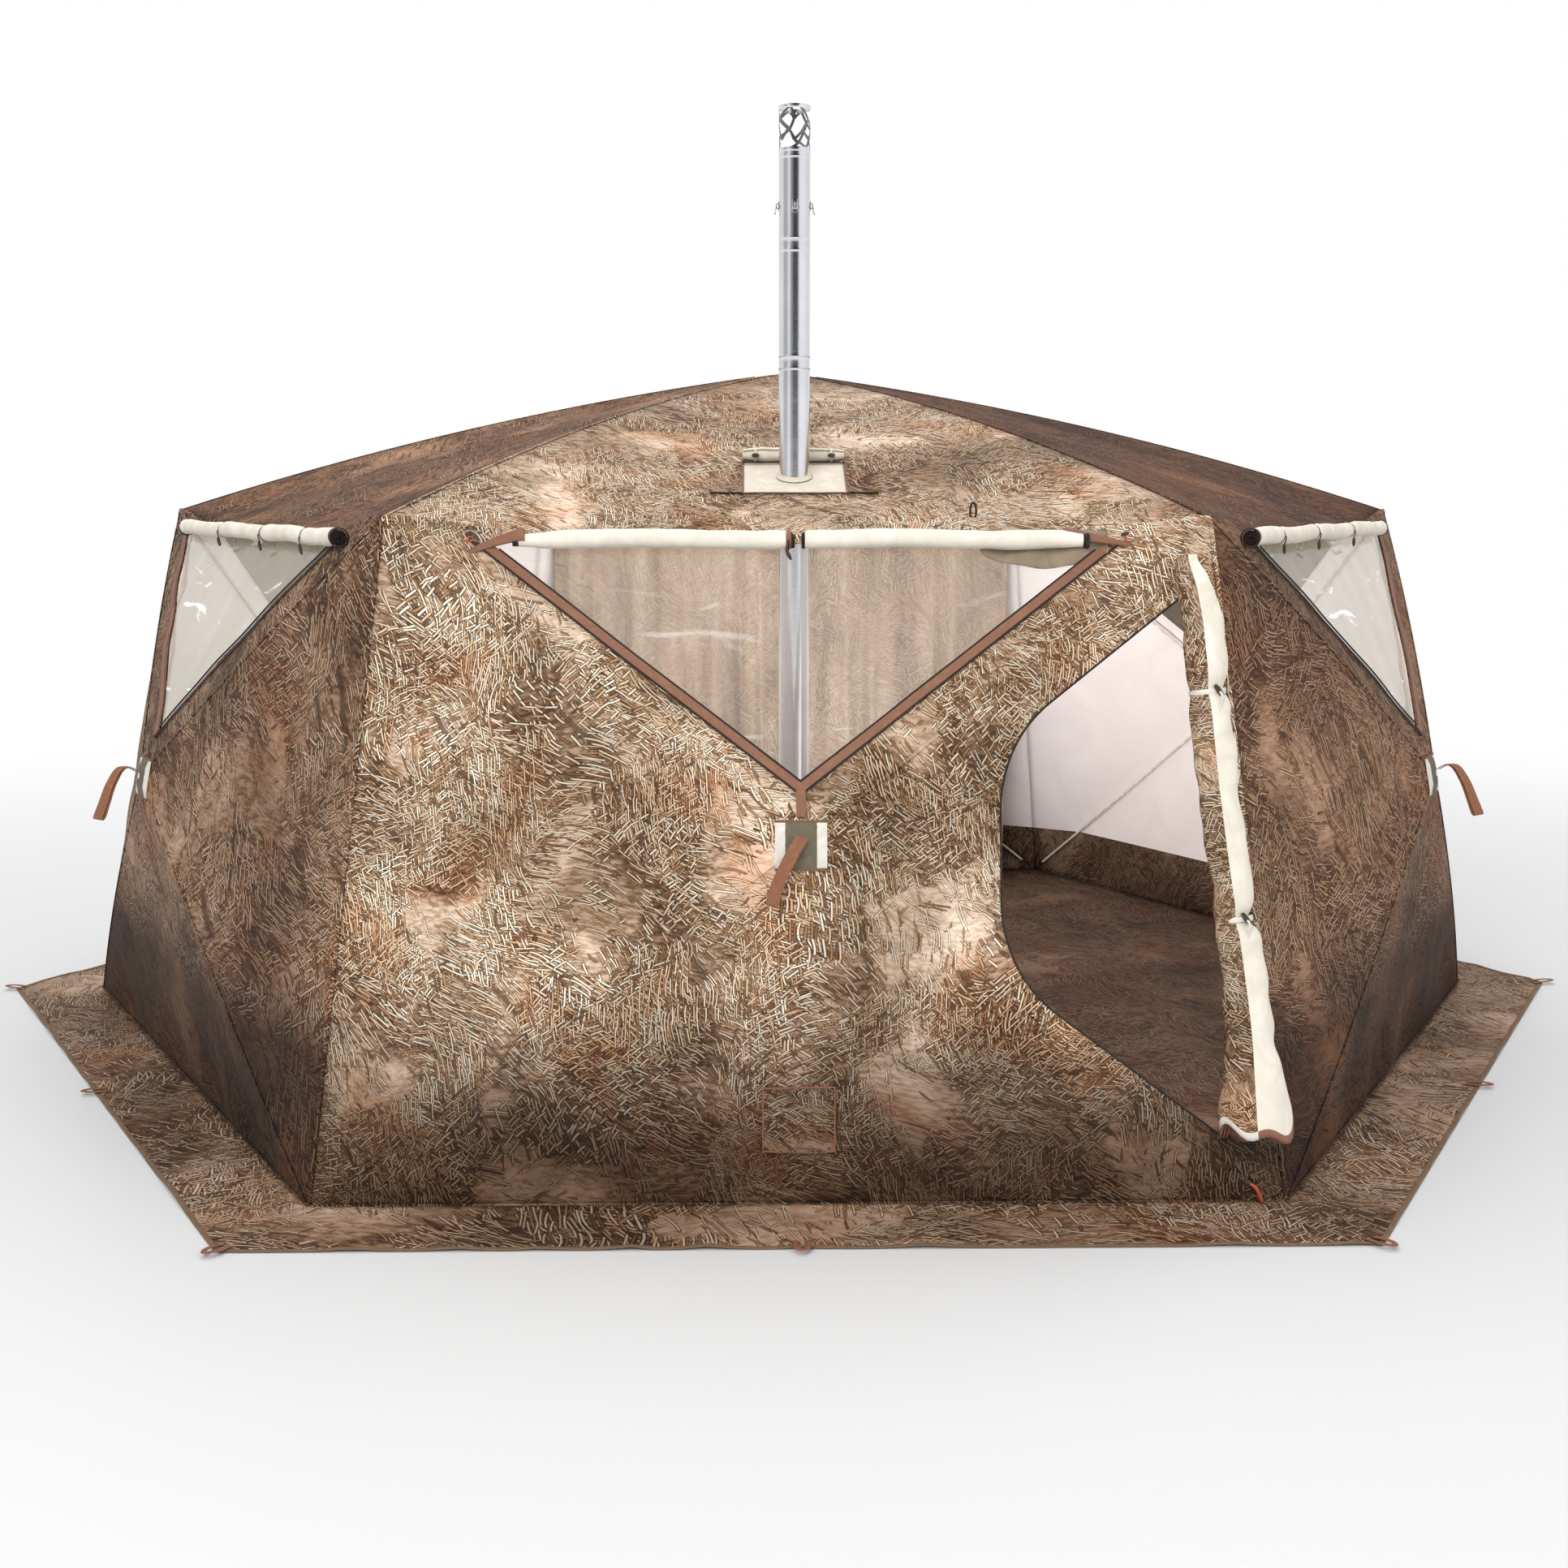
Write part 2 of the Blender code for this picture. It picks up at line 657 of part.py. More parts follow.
def skirt():
    """Snow skirt: a flat six-sided ring on the ground, from just outside the walls."""
    level = Vector((0, 0, 1))
    inner_side = (FOOT + BOTTOM * GAP, BOTTOM)
    outer_side = (FOOT - Vector((0, SKIRT_WIDTH, 0)), Vector((0, -1, 0)))
    loops = []
    for (point, normal), height in (
        (outer_side, CLOTH),
        (inner_side, CLOTH),
        (inner_side, 0),
        (outer_side, 0),
    ):
        beyond = (turned(point, 1), turned(normal, 1))
        first = meeting([(point, normal), beyond, (level * height, level)])
        loops.append([turned(first, step) for step in range(6)])
    return ring(loops)


def groundsheet():
    """Floor, ending just inside the walls."""
    level = Vector((0, 0, 1))
    sides = [(turned(FOOT - BOTTOM * (CLOTH + GAP), step), turned(BOTTOM, step)) for step in range(6)]
    return plate(level * CLOTH, level, CLOTH, sides)


def hub_arm(tip, axis, corner_point, first, second, shortfall):
    """Where one pole goes: its pin, its direction, its lean into the tent and its length."""
    inset = CLOTH + POLE_RADIUS + POLE_CLEARANCE
    target = corner_point - (first + second) * (inset / (1 + first.dot(second)))
    span = target - tip
    flat = (span - axis * span.dot(axis)).normalized()
    depth = CASTING_DEPTH + WEB + PIN_TO_WEB
    pin = tip - axis * depth + flat * PIN_RING
    reach = target - pin
    return {
        "pin": pin,
        "flat": flat,
        "axis": axis,
        "direction": reach.normalized(),
        "sink": -reach.dot(axis),
        "lean": math.asin(-reach.normalized().dot(axis)),
        "length": reach.length - shortfall,
    }


WALL_ARMS = [
    hub_arm(WALL_TIP, WALL_OUT, PANEL_CORNERS[k], PANEL_NORMALS[k], PANEL_NORMALS[k - 1], TIP_SHORTFALL)
    for k in range(4)
]
ROOF_ARMS = [
    hub_arm(
        APEX,
        Vector((0, 0, 1)),
        turned(TOP_LEFT, step),
        turned(ROOF, step),
        turned(ROOF, step - 1),
        ROOF_TIP_SHORTFALL,
    )
    for step in range(6)
]
WALL_TRAVEL = 2 * sum(arm["sink"] for arm in WALL_ARMS) / len(WALL_ARMS)
ROOF_TRAVEL = 2 * ROOF_ARMS[0]["sink"]


def pole_place(arm):
    """Frame of a pole: origin on its pin, +X along the pole, +Y along the pin."""
    x_axis = arm["direction"]
    y_axis = arm["axis"].cross(arm["flat"])
    return axes_at(arm["pin"], x_axis, y_axis, x_axis.cross(y_axis))


def pole_mesh(length):
    """Spring pole: a tongue with the pin's bore, a round rod and a fatter tip."""
    half = Vector((0, TONGUE_WIDTH / 2, TONGUE_HEIGHT / 2))
    tongue = block(
        Vector((-TONGUE_BACK, 0, 0)) - half,
        Vector((ROD_START + ROD_OVERLAP, 0, 0)) + half,
    )
    profile = [
        (POLE_RADIUS, ROD_START),
        (POLE_RADIUS, length - TIP_LENGTH),
        (TIP_RADIUS, length - TIP_LENGTH),
        (TIP_RADIUS, length),
    ]
    loops = [circle(radius, POLE_SIDES, height) for radius, height in profile]
    points, faces = ring(loops)
    faces = faces[: -POLE_SIDES]
    faces += [tuple(range(POLE_SIDES)), tuple(range(len(points) - POLE_SIDES, len(points)))]
    along_x = Matrix.Rotation(math.pi / 2, 4, "Y")
    shaft = moved((points, faces), along_x)
    bore_reach = Vector((0, TONGUE_WIDTH / 2 + OVERRUN, 0))
    bore = rod(PIN_RADIUS + GAP, -bore_reach, bore_reach, PIN_SIDES)
    return carved(mesh_of("pole", [shaft]), ("UNION", [tongue]), ("DIFFERENCE", [bore]))


def arm_frames(tip_frame, arms):
    """Angle of each arm round the hub's own axis."""
    back = tip_frame.to_3x3().inverted()
    return [math.atan2(*reversed((back @ arm["flat"]).to_2d())) for arm in arms]


def casting_outline(angles, half, reach):
    """Star with one straight arm for each angle, in order round the hub."""
    outline = []
    for k, angle in enumerate(angles):
        following = angles[(k + 1) % len(angles)]
        along = Vector((math.cos(angle), math.sin(angle)))
        left = Vector((-along.y, along.x))
        next_along = Vector((math.cos(following), math.sin(following)))
        next_left = Vector((-next_along.y, next_along.x))
        outline += [along * reach - left * half, along * reach + left * half]
        outline.append(crossing((left * half, along), (-next_left * half, next_along)))
    return outline


def hub_mesh(angles, post_top, fabric):
    """Hub: a star-shaped casting with ears for every pole, its hinge pins, and a post through its fabric."""
    half = TONGUE_WIDTH / 2 + GAP + EAR
    reach = PIN_RING + EAR_REACH
    pin_height = -(CASTING_DEPTH + WEB + PIN_TO_WEB)
    outline = casting_outline(angles, half, reach)
    top = [Vector((p.x, p.y, -CASTING_DEPTH)) for p in outline]
    foot = [Vector((p.x, p.y, pin_height - EAR_DROP)) for p in outline]
    slots, pins = [], []
    tongue_swing = math.hypot(TONGUE_BACK, TONGUE_HEIGHT / 2)
    for angle in angles:
        turn = Matrix.Rotation(angle, 4, "Z")
        side = TONGUE_WIDTH / 2 + GAP
        low = Vector((PIN_RING - tongue_swing - GAP, -side, pin_height - EAR_DROP - OVERRUN))
        high = Vector((reach + OVERRUN, side, -CASTING_DEPTH - WEB))
        slots.append(moved(block(low, high), turn))
        centre = Vector((PIN_RING, 0, pin_height))
        end = Vector((0, half - EAR / 2, 0))
        pins.append(moved(rod(PIN_RADIUS, centre - end, centre + end, PIN_SIDES), turn))
    post = rod(POST_RADIUS, Vector((0, 0, -CASTING_DEPTH - WEB / 2)), Vector((0, 0, post_top)), POST_SIDES)
    steps = [("UNION", [post])] + [("UNION", [solid]) for solid in fabric]
    steps += [("DIFFERENCE", slots), ("UNION", pins)]
    return carved(mesh_of("hub", [prism(top, foot)]), *steps)


def cover_patch(tip, corners, axis):
    """Fabric cover over a hub: a shallow pyramid on the panels' own slopes."""
    drop = axis * PATCH_CLOTH
    rim = [tip + (point - tip) * (1 - (GAP + GAP) / PATCH_HALF) for point in corners]
    count = len(rim)
    points = [tip] + rim + [tip - drop] + [point - drop for point in rim]
    faces = []
    for k in range(count):
        here, following, below = 1 + k, 1 + (k + 1) % count, count + 1
        faces += [
            (0, here, following),
            (below, below + following, below + here),
            (here, following, below + following, below + here),
        ]
    return points, faces


def strap():
    """Pull strap in its own frame: doubled webbing hanging down from the hub's post."""
    return block(
        Vector((-STRAP_WIDTH / 2, -STRAP_LENGTH, -STRAP_CLOTH / 2)),
        Vector((STRAP_WIDTH / 2, STRAP_WIDTH / 2, STRAP_CLOTH / 2)),
    )


def pipe_section(foot, joint, top_spigot):
    """Pipe section; with a spigot, its narrower top goes up into the next section."""
    narrow = PIPE_RADIUS - PIPE_WALL - GAP
    profile = [(PIPE_RADIUS, foot), (PIPE_RADIUS, joint)]
    if top_spigot:
        profile += [
            (narrow, joint),
            (narrow, joint + SPIGOT_LENGTH),
            (narrow - PIPE_WALL, joint + SPIGOT_LENGTH),
            (narrow - PIPE_WALL, joint - PIPE_WALL),
            (PIPE_RADIUS - PIPE_WALL, joint - PIPE_WALL),
        ]
    else:
        profile.append((PIPE_RADIUS - PIPE_WALL, joint))
    profile.append((PIPE_RADIUS - PIPE_WALL, foot))
    loops = [circle(radius, PIPE_SIDES, z) for radius, z in profile]
    return moved(ring(loops), Matrix.Translation(PIPE_AXIS))


def arrestor_mesh():
    """Spark arrestor: a short pipe whose top is a ring of bars under an open rim."""
    wide = 2 * PIPE_RADIUS * math.sin(math.pi / CAGE_WINDOWS) - CAGE_BAR
    low, high = CHIMNEY_TOP - CAGE_LENGTH + CAGE_RIM, CHIMNEY_TOP - CAGE_RIM
    windows = []
    for k in range(CAGE_WINDOWS):
        turn = Matrix.Translation(PIPE_AXIS) @ Matrix.Rotation(k * math.tau / CAGE_WINDOWS, 4, "Z")
        near, far = Vector((PIPE_RADIUS / 2, -wide / 2, low)), Vector((PIPE_RADIUS + OVERRUN, wide / 2, high))
        windows.append(moved(block(near, far), turn))
    tube = pipe_section(UPPER_JOINT_HEIGHT + GAP, CHIMNEY_TOP, False)
    return carved(mesh_of("arrestor", [tube]), ("DIFFERENCE", windows))


def build_shell():
    """All fabric of the pitched tent."""
    plain = mesh_of("plain_wall", [plain_wall()])
    glazed = mesh_of("glazed_wall", [glazed_wall()])
    film = mesh_of("film", [window_film()])
    for step, name in enumerate(WALL_NAMES):
        mesh = front_wall() if name == "front" else glazed if name in WINDOW_WALLS else plain
        place("wall_" + name, mesh, "camouflage", wall_turn(step))
        if name in WINDOW_WALLS:
            place("window_pane_" + name, film, "clear_film", wall_turn(step))
    place("roof", roof_mesh(), "camouflage")
    place("snow_skirt", mesh_of("snow_skirt", [skirt()]), "camouflage")
    place("groundsheet", mesh_of("groundsheet", [groundsheet()]), "floor_cloth")
    place("stove_jack", jack_mesh(), "jack_cloth")
    place("jack_cover_roll", mesh_of("jack_cover_roll", [jack_roll()]), "jack_cloth")
    place("door_roll", mesh_of("door_roll", [door_roll()]), "cream_cloth")
    place("back_curtain", mesh_of("back_curtain", [curtain()]), "curtain_cloth")
    left_half = mesh_of("left_half", [window_roll(-FRONT_ROLL_LEFT, -WINDOW_ROLL_SPLIT)])
    right_half = mesh_of("right_half", [window_roll(WINDOW_ROLL_SPLIT, FRONT_ROLL_RIGHT)])
    whole = mesh_of("whole_roll", [window_roll(-SIDE_ROLL_REACH, SIDE_ROLL_REACH)])
    place("window_roll_front_left_half", left_half, "cream_cloth")
    place("window_roll_front_right_half", right_half, "cream_cloth")
    for step, name in enumerate(WALL_NAMES):
        if name in WINDOW_WALLS and step:
            place("window_roll_" + name, whole, "cream_cloth", wall_turn(step))


def build_wall_frames():
    """One hub and four poles for every wall. The pull strap hangs plumb, or along a panel that slopes out."""
    frame = axes_at(WALL_TIP, ACROSS, WALL_UP, WALL_OUT)
    back = frame.inverted()
    strap_up = Vector((0, max(0, WALL_TIP.y - FOOT.y), WALL_TIP.z)).normalized()
    hang = axes_at(WALL_TIP + WALL_OUT * STRAP_STAND_OUT, ACROSS, strap_up, ACROSS.cross(strap_up))
    fabric = [moved(cover_patch(WALL_TIP, PATCH_CORNERS, WALL_OUT), back), moved(strap(), back @ hang)]
    hub = hub_mesh(arm_frames(frame, WALL_ARMS), STRAP_STAND_OUT, fabric)
    poles = [pole_mesh(arm["length"]) for arm in WALL_ARMS]
    for step, name in enumerate(WALL_NAMES):
        place("hub_" + name, hub, "moulded_plastic", wall_turn(step) @ frame, 30)
        for pole_name, pole, arm in zip(WALL_POLE_NAMES, poles, WALL_ARMS):
            at = wall_turn(step) @ pole_place(arm)
            place("pole_" + name + "_" + pole_name, pole, "glass_fibre", at, 30)


def build_roof_frame():
    """Roof hub and its six poles."""
    frame = Matrix.Translation(APEX)
    corners = [roof_patch_corner(step) for step in range(6)]
    cover = moved(cover_patch(APEX, corners, Vector((0, 0, 1))), frame.inverted())
    hub = hub_mesh(arm_frames(frame, ROOF_ARMS), BUTTON_HEIGHT, [cover])
    place("roof_hub", hub, "moulded_plastic", frame, 30)
    pole = pole_mesh(ROOF_ARMS[0]["length"])
    for name, arm in zip(ROOF_POLE_NAMES, ROOF_ARMS):
        place("roof_pole_" + name, pole, "glass_fibre", pole_place(arm), 30)


def build_chimney():
    """Stove pipe in three sections, each standing on the one below."""
    lower = mesh_of("lower_pipe", [pipe_section(PIPE_FOOT, LOWER_JOINT_HEIGHT, True)])
    upper = mesh_of("upper_pipe", [pipe_section(LOWER_JOINT_HEIGHT + GAP, UPPER_JOINT_HEIGHT, True)])
    place("chimney_lower_pipe", lower, "steel", smooth_degrees=30)
    place("chimney_upper_pipe", upper, "steel", smooth_degrees=30)
    place("spark_arrestor", arrestor_mesh(), "steel", smooth_degrees=30)


def main():
    """Build the whole tent in an emptied scene."""
    for item in list(bpy.data.objects):
        bpy.data.objects.remove(item)
    build_shell()
    build_wall_frames()
    build_roof_frame()
    build_chimney()


main()
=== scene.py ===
"""Dressed model of a six-sided hub tent: sprung cloth walls, film windows, rolled covers and a stove pipe.

Metres, +Z up, the door on the -Y side. The front wall and front roof panel are worked out first, and the
other five of each are turned copies with their own folds.
"""
import math

import bmesh
import bpy
import numpy as np
from mathutils import Matrix, Vector


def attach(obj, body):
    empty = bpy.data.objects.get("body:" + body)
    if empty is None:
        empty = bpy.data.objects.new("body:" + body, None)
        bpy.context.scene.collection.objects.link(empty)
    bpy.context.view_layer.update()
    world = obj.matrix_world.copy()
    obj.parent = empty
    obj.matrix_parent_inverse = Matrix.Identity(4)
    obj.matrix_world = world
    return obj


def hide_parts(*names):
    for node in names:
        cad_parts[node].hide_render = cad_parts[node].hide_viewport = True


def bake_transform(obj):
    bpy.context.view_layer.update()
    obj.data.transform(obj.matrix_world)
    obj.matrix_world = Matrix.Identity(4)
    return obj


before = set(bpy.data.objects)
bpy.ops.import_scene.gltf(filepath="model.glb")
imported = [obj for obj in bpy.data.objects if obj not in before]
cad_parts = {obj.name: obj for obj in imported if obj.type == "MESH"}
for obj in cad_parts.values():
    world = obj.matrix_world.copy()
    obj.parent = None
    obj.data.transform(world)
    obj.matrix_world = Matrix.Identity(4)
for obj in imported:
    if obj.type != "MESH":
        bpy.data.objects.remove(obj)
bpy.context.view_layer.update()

# Pitched tent, as in the solids
FLOOR_RADIUS = 2.2
EAVE_RADIUS = 1.88
EAVE_HEIGHT = 1.53
APEX_HEIGHT = 1.95
HUB_HEIGHT = 0.845
HUB_STAND_OUT = 0.235
SKIRT_WIDTH = 0.24
SEAM_MARGIN = 0.108
EAVE_MARGIN = 0.055
PIPE_DISTANCE = 1.267
PIPE_RADIUS = 0.0375
PIPE_FOOT = 0.62
LOWER_JOINT = 1.898
UPPER_JOINT = 2.175
CAGE_FOOT = 2.391
CHIMNEY_TOP = 2.495
RING_HEIGHT = 2.265
CASTING_DEPTH = 0.0215
PIN_DEPTH = 0.031
PIN_RING = 0.03
EAVE_SAG = 0.044

WALLS = ["front", "front_right", "back_right", "back", "back_left", "front_left"]
WINDOW_WALLS = ["front", "front_right", "front_left"]
ROOF_POLES = ["front_left", "front_right", "right", "back_right", "back_left", "left"]
WALL_POLES = ["upper_right", "upper_left", "lower_left", "lower_right"]
TURN = math.radians(60)
UP = np.array([0.0, 0.0, 1.0])
ACROSS = np.array([1.0, 0.0, 0.0])


def corner(radius, degrees, height):
    """Point of a level hexagon."""
    angle = math.radians(degrees)
    return np.array([radius * math.cos(angle), radius * math.sin(angle), height])


def unit(vectors):
    """Vectors divided by their lengths."""
    vectors = np.asarray(vectors, float)
    return vectors / np.linalg.norm(vectors, axis=-1, keepdims=True)


def turned(points, steps):
    """Points turned about +Z by a number of walls."""
    c, s = math.cos(steps * TURN), math.sin(steps * TURN)
    return np.asarray(points, float) @ np.array([[c, s, 0], [-s, c, 0], [0, 0, 1]])


def smooth(x, low=0.0, high=1.0):
    """Smooth step: 0 below low, 1 above high, and 3t^2 - 2t^3 between."""
    t = np.clip((np.asarray(x, float) - low) / (high - low), 0, 1)
    return t * t * (3 - 2 * t)


BOTTOM_LEFT = corner(FLOOR_RADIUS, -120, 0)
BOTTOM_RIGHT = corner(FLOOR_RADIUS, -60, 0)
TOP_LEFT = corner(EAVE_RADIUS, -120, EAVE_HEIGHT)
TOP_RIGHT = corner(EAVE_RADIUS, -60, EAVE_HEIGHT)
APEX = np.array([0, 0, APEX_HEIGHT])
FOOT = (BOTTOM_LEFT + BOTTOM_RIGHT) / 2
HEAD = (TOP_LEFT + TOP_RIGHT) / 2
WALL_UP = unit(HEAD - FOOT)
WALL_OUT = np.cross(ACROSS, WALL_UP)
TIP = FOOT + (HEAD - FOOT) * HUB_HEIGHT / EAVE_HEIGHT - np.array([0, HUB_STAND_OUT, 0])
ROOF_UP = unit(APEX - HEAD)
ROOF_SLOPE = math.hypot(*(APEX - HEAD)[1:]) / -HEAD[1]

# Stove jack's patch: its middle up the slope, and half its width and height
JACK_MIDDLE = ROOF_SLOPE * (-HEAD[1] - PIPE_DISTANCE)
JACK_HALF_WIDTH = 0.127
JACK_HALF_HEIGHT = 0.115

# Pole's distance from a panel: cloth thickness, pole radius and gap
POLE_INSET = 0.002 + 0.0055 + 0.0012

# Each panel's outer edge, the point that it rises to, the way its seams bow, and how far
PANELS = {
    "top": (TOP_LEFT, TOP_RIGHT, TIP, WALL_OUT, 0.012),
    "right": (TOP_RIGHT, BOTTOM_RIGHT, TIP, WALL_OUT, 0.012),
    "bottom": (BOTTOM_RIGHT, BOTTOM_LEFT, TIP, WALL_OUT, 0.012),
    "left": (BOTTOM_LEFT, TOP_LEFT, TIP, WALL_OUT, 0.012),
    "roof": (TOP_LEFT, TOP_RIGHT, APEX, UP, 0.045),
}


def panel_frame(panel):
    """A panel's first corner, its direction along the edge, its rise to the tip, and its outward normal."""
    a, b, tip, out, _ = PANELS[panel]
    along = unit(b - a)
    rise = tip - a - along * ((tip - a) @ along)
    normal = unit(np.cross(along, rise))
    return a, along, rise, normal if normal @ out > 0 else -normal


def waves(points, seed, long=0.55, short=0.13, count=7):
    """Cloth relief: a sum of sine waves with random directions, wavelengths and phases, about 1 high."""
    draw = np.random.default_rng(seed)
    total = np.zeros(points.shape[:-1])
    for _ in range(count):
        length = short * (long / short) ** draw.random()
        way = unit(draw.normal(size=3))
        bend = 0.3 * np.sin(points @ unit(draw.normal(size=3)) * 2 * math.pi / long + draw.random() * 6)
        total += np.sin(points @ way * 2 * math.pi / length + bend * 4 + draw.random() * 6.28) * length / long
    return total / math.sqrt(count)


def lifted(points, panel, seed=0, height=0.0, relief=0.005):
    """Flat points of a panel put on its sprung surface.

    The seams bow by 4c(1 - c), c being the share of the way to the tip. The eave sags between its corners,
    and folds fade out at the panel's edges.
    """
    points = np.asarray(points, float)
    a, b, tip, out, bow = PANELS[panel]
    _, along, rise, normal = panel_frame(panel)
    c = np.clip((points - a) @ rise / (rise @ rise), 0, 1)
    foot_share = (tip - a) @ along / np.linalg.norm(b - a)
    u = (points - a) @ along / np.linalg.norm(b - a) - c * foot_share
    edge = np.minimum(np.minimum(u, 1 - c - u), c * 0.8)
    fold = waves(points, seed * 7 + sorted(PANELS).index(panel)) * smooth(edge, 0, 0.12) * relief
    if panel == "bottom":
        foot = smooth(c, 0, 0.06) * (1 - smooth(c, 0.1, 0.32)) * smooth(np.minimum(u, 1 - c - u), 0, 0.1)
        draped = np.sin(points[..., 0] * 13 + 2 * np.sin(points[..., 0] * 3.1 + seed) + points[..., 2] * 9)
        fold = fold + 0.011 * foot * draped
    if panel in ("roof", "top"):
        fade = (1 - c) ** 1.5 if panel == "roof" else 1 - smooth(c, 0, 0.1)
        sag = EAVE_SAG * smooth(np.minimum(u, 1 - c - u) / np.maximum(1 - c, 0.05), 0, 0.22) * fade
        points = points - np.multiply.outer(sag, UP)
    return points + np.multiply.outer(4 * c * (1 - c) * bow, out) + np.multiply.outer(fold + height, normal)


def on_panel(flat, panel):
    """Points of the flat wall, across and up, moved square to it onto a wall panel."""
    flat = np.asarray(flat, float)
    a, _, _, normal = panel_frame(panel)
    points = FOOT + flat[..., :1] * ACROSS + flat[..., 1:] * WALL_UP
    return points + np.multiply.outer((a - points) @ normal / (WALL_OUT @ normal), WALL_OUT)


def on_roof(flat):
    """Points of the front roof panel: across, and up the slope from the middle of the eave."""
    flat = np.asarray(flat, float)
    return HEAD + flat[..., :1] * ACROSS + flat[..., 1:] * ROOF_UP


def pattern(points, panel):
    """Where points fall on the printed cloth, in metres across and up."""
    if panel == "roof":
        return np.stack([points @ ACROSS + 3, (points - HEAD) @ ROOF_UP + 4], -1)
    return np.stack([points @ ACROSS, (points - FOOT) @ WALL_UP], -1)


def grid(points, uv, wrap_rows=False, wrap_cols=False):
    """Quads over a grid of points.

    A wrapped direction joins its last line to its first, and has one more uv line.
    """
    rows, cols = points.shape[:2]
    r, c = np.meshgrid(np.arange(rows - (not wrap_rows)), np.arange(cols - (not wrap_cols)), indexing="ij")
    steps = [(r, c), (r, c + 1), (r + 1, c + 1), (r + 1, c)]
    quads = np.stack([(i % rows) * cols + j % cols for i, j in steps], -1).reshape(-1, 4)
    places = np.stack([uv[i, j] for i, j in steps], -2).reshape(-1, 4, 2)
    return points.reshape(-1, 3), quads, places


def faced(shape, outward=None):
    """The shape with its faces turned outwards: along a given way, or away from its middle."""
    points, quads, places = shape
    a, b, c, d = (points[quads[:, k]] for k in range(4))
    area = np.cross(c - a, d - b)
    away = (a + b + c + d) / 4 - points.mean(0) if outward is None else np.asarray(outward, float)
    if (area * away).sum() < 0:
        return points, quads[:, ::-1], places[:, ::-1]
    return shape


def carried(path, side, out, profile, closed=False):
    """A closed profile carried along a path: point = path + side * x + out * y, with its ends closed."""
    path = np.asarray(path, float)
    rows = len(path)
    side, out = (np.broadcast_to(np.asarray(v, float), path.shape)[:, None] for v in (side, out))
    profile = np.broadcast_to(profile, (rows, *np.shape(profile)[-2:]))
    points = path[:, None] + side * profile[..., :1] + out * profile[..., 1:]
    ahead = np.linalg.norm(np.diff(path, axis=0, append=path[:1]), axis=1)
    length = np.concatenate([[0], np.cumsum(ahead)])
    loop = np.concatenate([profile[0], profile[0][:1]])
    around = np.concatenate([[0], np.cumsum(np.linalg.norm(np.diff(loop, axis=0), axis=1))])
    if not closed:
        points = np.concatenate([np.broadcast_to(points[:1].mean(1, keepdims=True), points[:1].shape), points,
                                 np.broadcast_to(points[-1:].mean(1, keepdims=True), points[:1].shape)])
        length = np.concatenate([[0], length[:rows], [length[rows - 1]]])
    uv = np.stack(np.meshgrid(length, around, indexing="ij")[::-1], -1)
    return faced(grid(points, uv, closed, True))


def rounded_bar(width, height, points=12, power=4):
    """Profile of a flat bar with rounded edges: |x/a|^p + |y/b|^p = 1."""
    angle = np.arange(points) * 2 * math.pi / points + math.pi / points
    c, s = np.cos(angle), np.sin(angle)
    x = width / 2 * np.sign(c) * abs(c) ** (2 / power)
    y = height / 2 * np.sign(s) * abs(s) ** (2 / power)
    return np.stack([x, y], -1)


def round_bar(radius, points=10):
    """Round profile."""
    return rounded_bar(2 * radius, 2 * radius, points, 2)


def along_path(path, out, closed=False):
    """Sideways and outward directions at every point of a path, square to it."""
    path = np.asarray(path, float)
    ahead = unit(np.roll(path, -1, 0) - np.roll(path, 1, 0) if closed else np.gradient(path, axis=0))
    side = unit(np.cross(ahead, np.broadcast_to(out, ahead.shape)))
    return side, np.cross(side, ahead)


def strip(path, out, profile, closed=False):
    """A profile carried along a path, kept square to it and facing out."""
    side, facing = along_path(path, out, closed)
    return carried(path, side, facing, profile, closed)


def tapered(scales, profile):
    """A profile at several sizes: one factor, or one across and one outwards, for each step of a path."""
    scales = np.asarray(scales, float)
    return scales.reshape(len(scales), 1, -1) * profile


def picked(shape, chosen):
    """The shape with its chosen faces only."""
    points, quads, places = shape
    return points, quads[chosen], places[chosen]


def curve(points, count):
    """Smooth curve through points: Catmull-Rom cubics, evenly stepped."""
    p = np.asarray(points, float)
    p = np.concatenate([[2 * p[0] - p[1]], p, [2 * p[-1] - p[-2]]])
    t = np.linspace(0, len(p) - 3, count)
    k = np.minimum(t.astype(int), len(p) - 4)
    f = (t - k)[:, None]
    a, b, c, d = p[k], p[k + 1], p[k + 2], p[k + 3]
    return 0.5 * (2 * b + (c - a) * f + (2 * a - 5 * b + 4 * c - d) * f**2 + (3 * b - a - 3 * c + d) * f**3)


def line(start, end, count):
    """Evenly stepped points of a straight line."""
    return np.asarray(start, float) + np.linspace(0, 1, count)[:, None] * (np.asarray(end, float) - start)


def looped(corners, count):
    """Evenly stepped points round a closed outline."""
    return np.concatenate([line(a, b, count)[:-1] for a, b in zip(corners, np.roll(corners, -1, 0))])


def revolved(profile, centre, sides=48):
    """A closed profile of radius and height turned about an upright axis."""
    angle = np.arange(sides) * 2 * math.pi / sides
    ring = np.stack([np.cos(angle), np.sin(angle), np.zeros(sides)], -1)
    profile = np.asarray(profile, float)
    points = centre + ring[:, None] * profile[None, :, :1] + UP * profile[None, :, 1:]
    loop = np.concatenate([profile, profile[:1]])
    around = np.concatenate([[0], np.cumsum(np.linalg.norm(np.diff(loop, axis=0), axis=1))])
    turn = np.linspace(0, 2 * math.pi * PIPE_RADIUS, sides + 1)
    return faced(grid(points, np.stack(np.meshgrid(turn, around, indexing="ij"), -1), True, True))


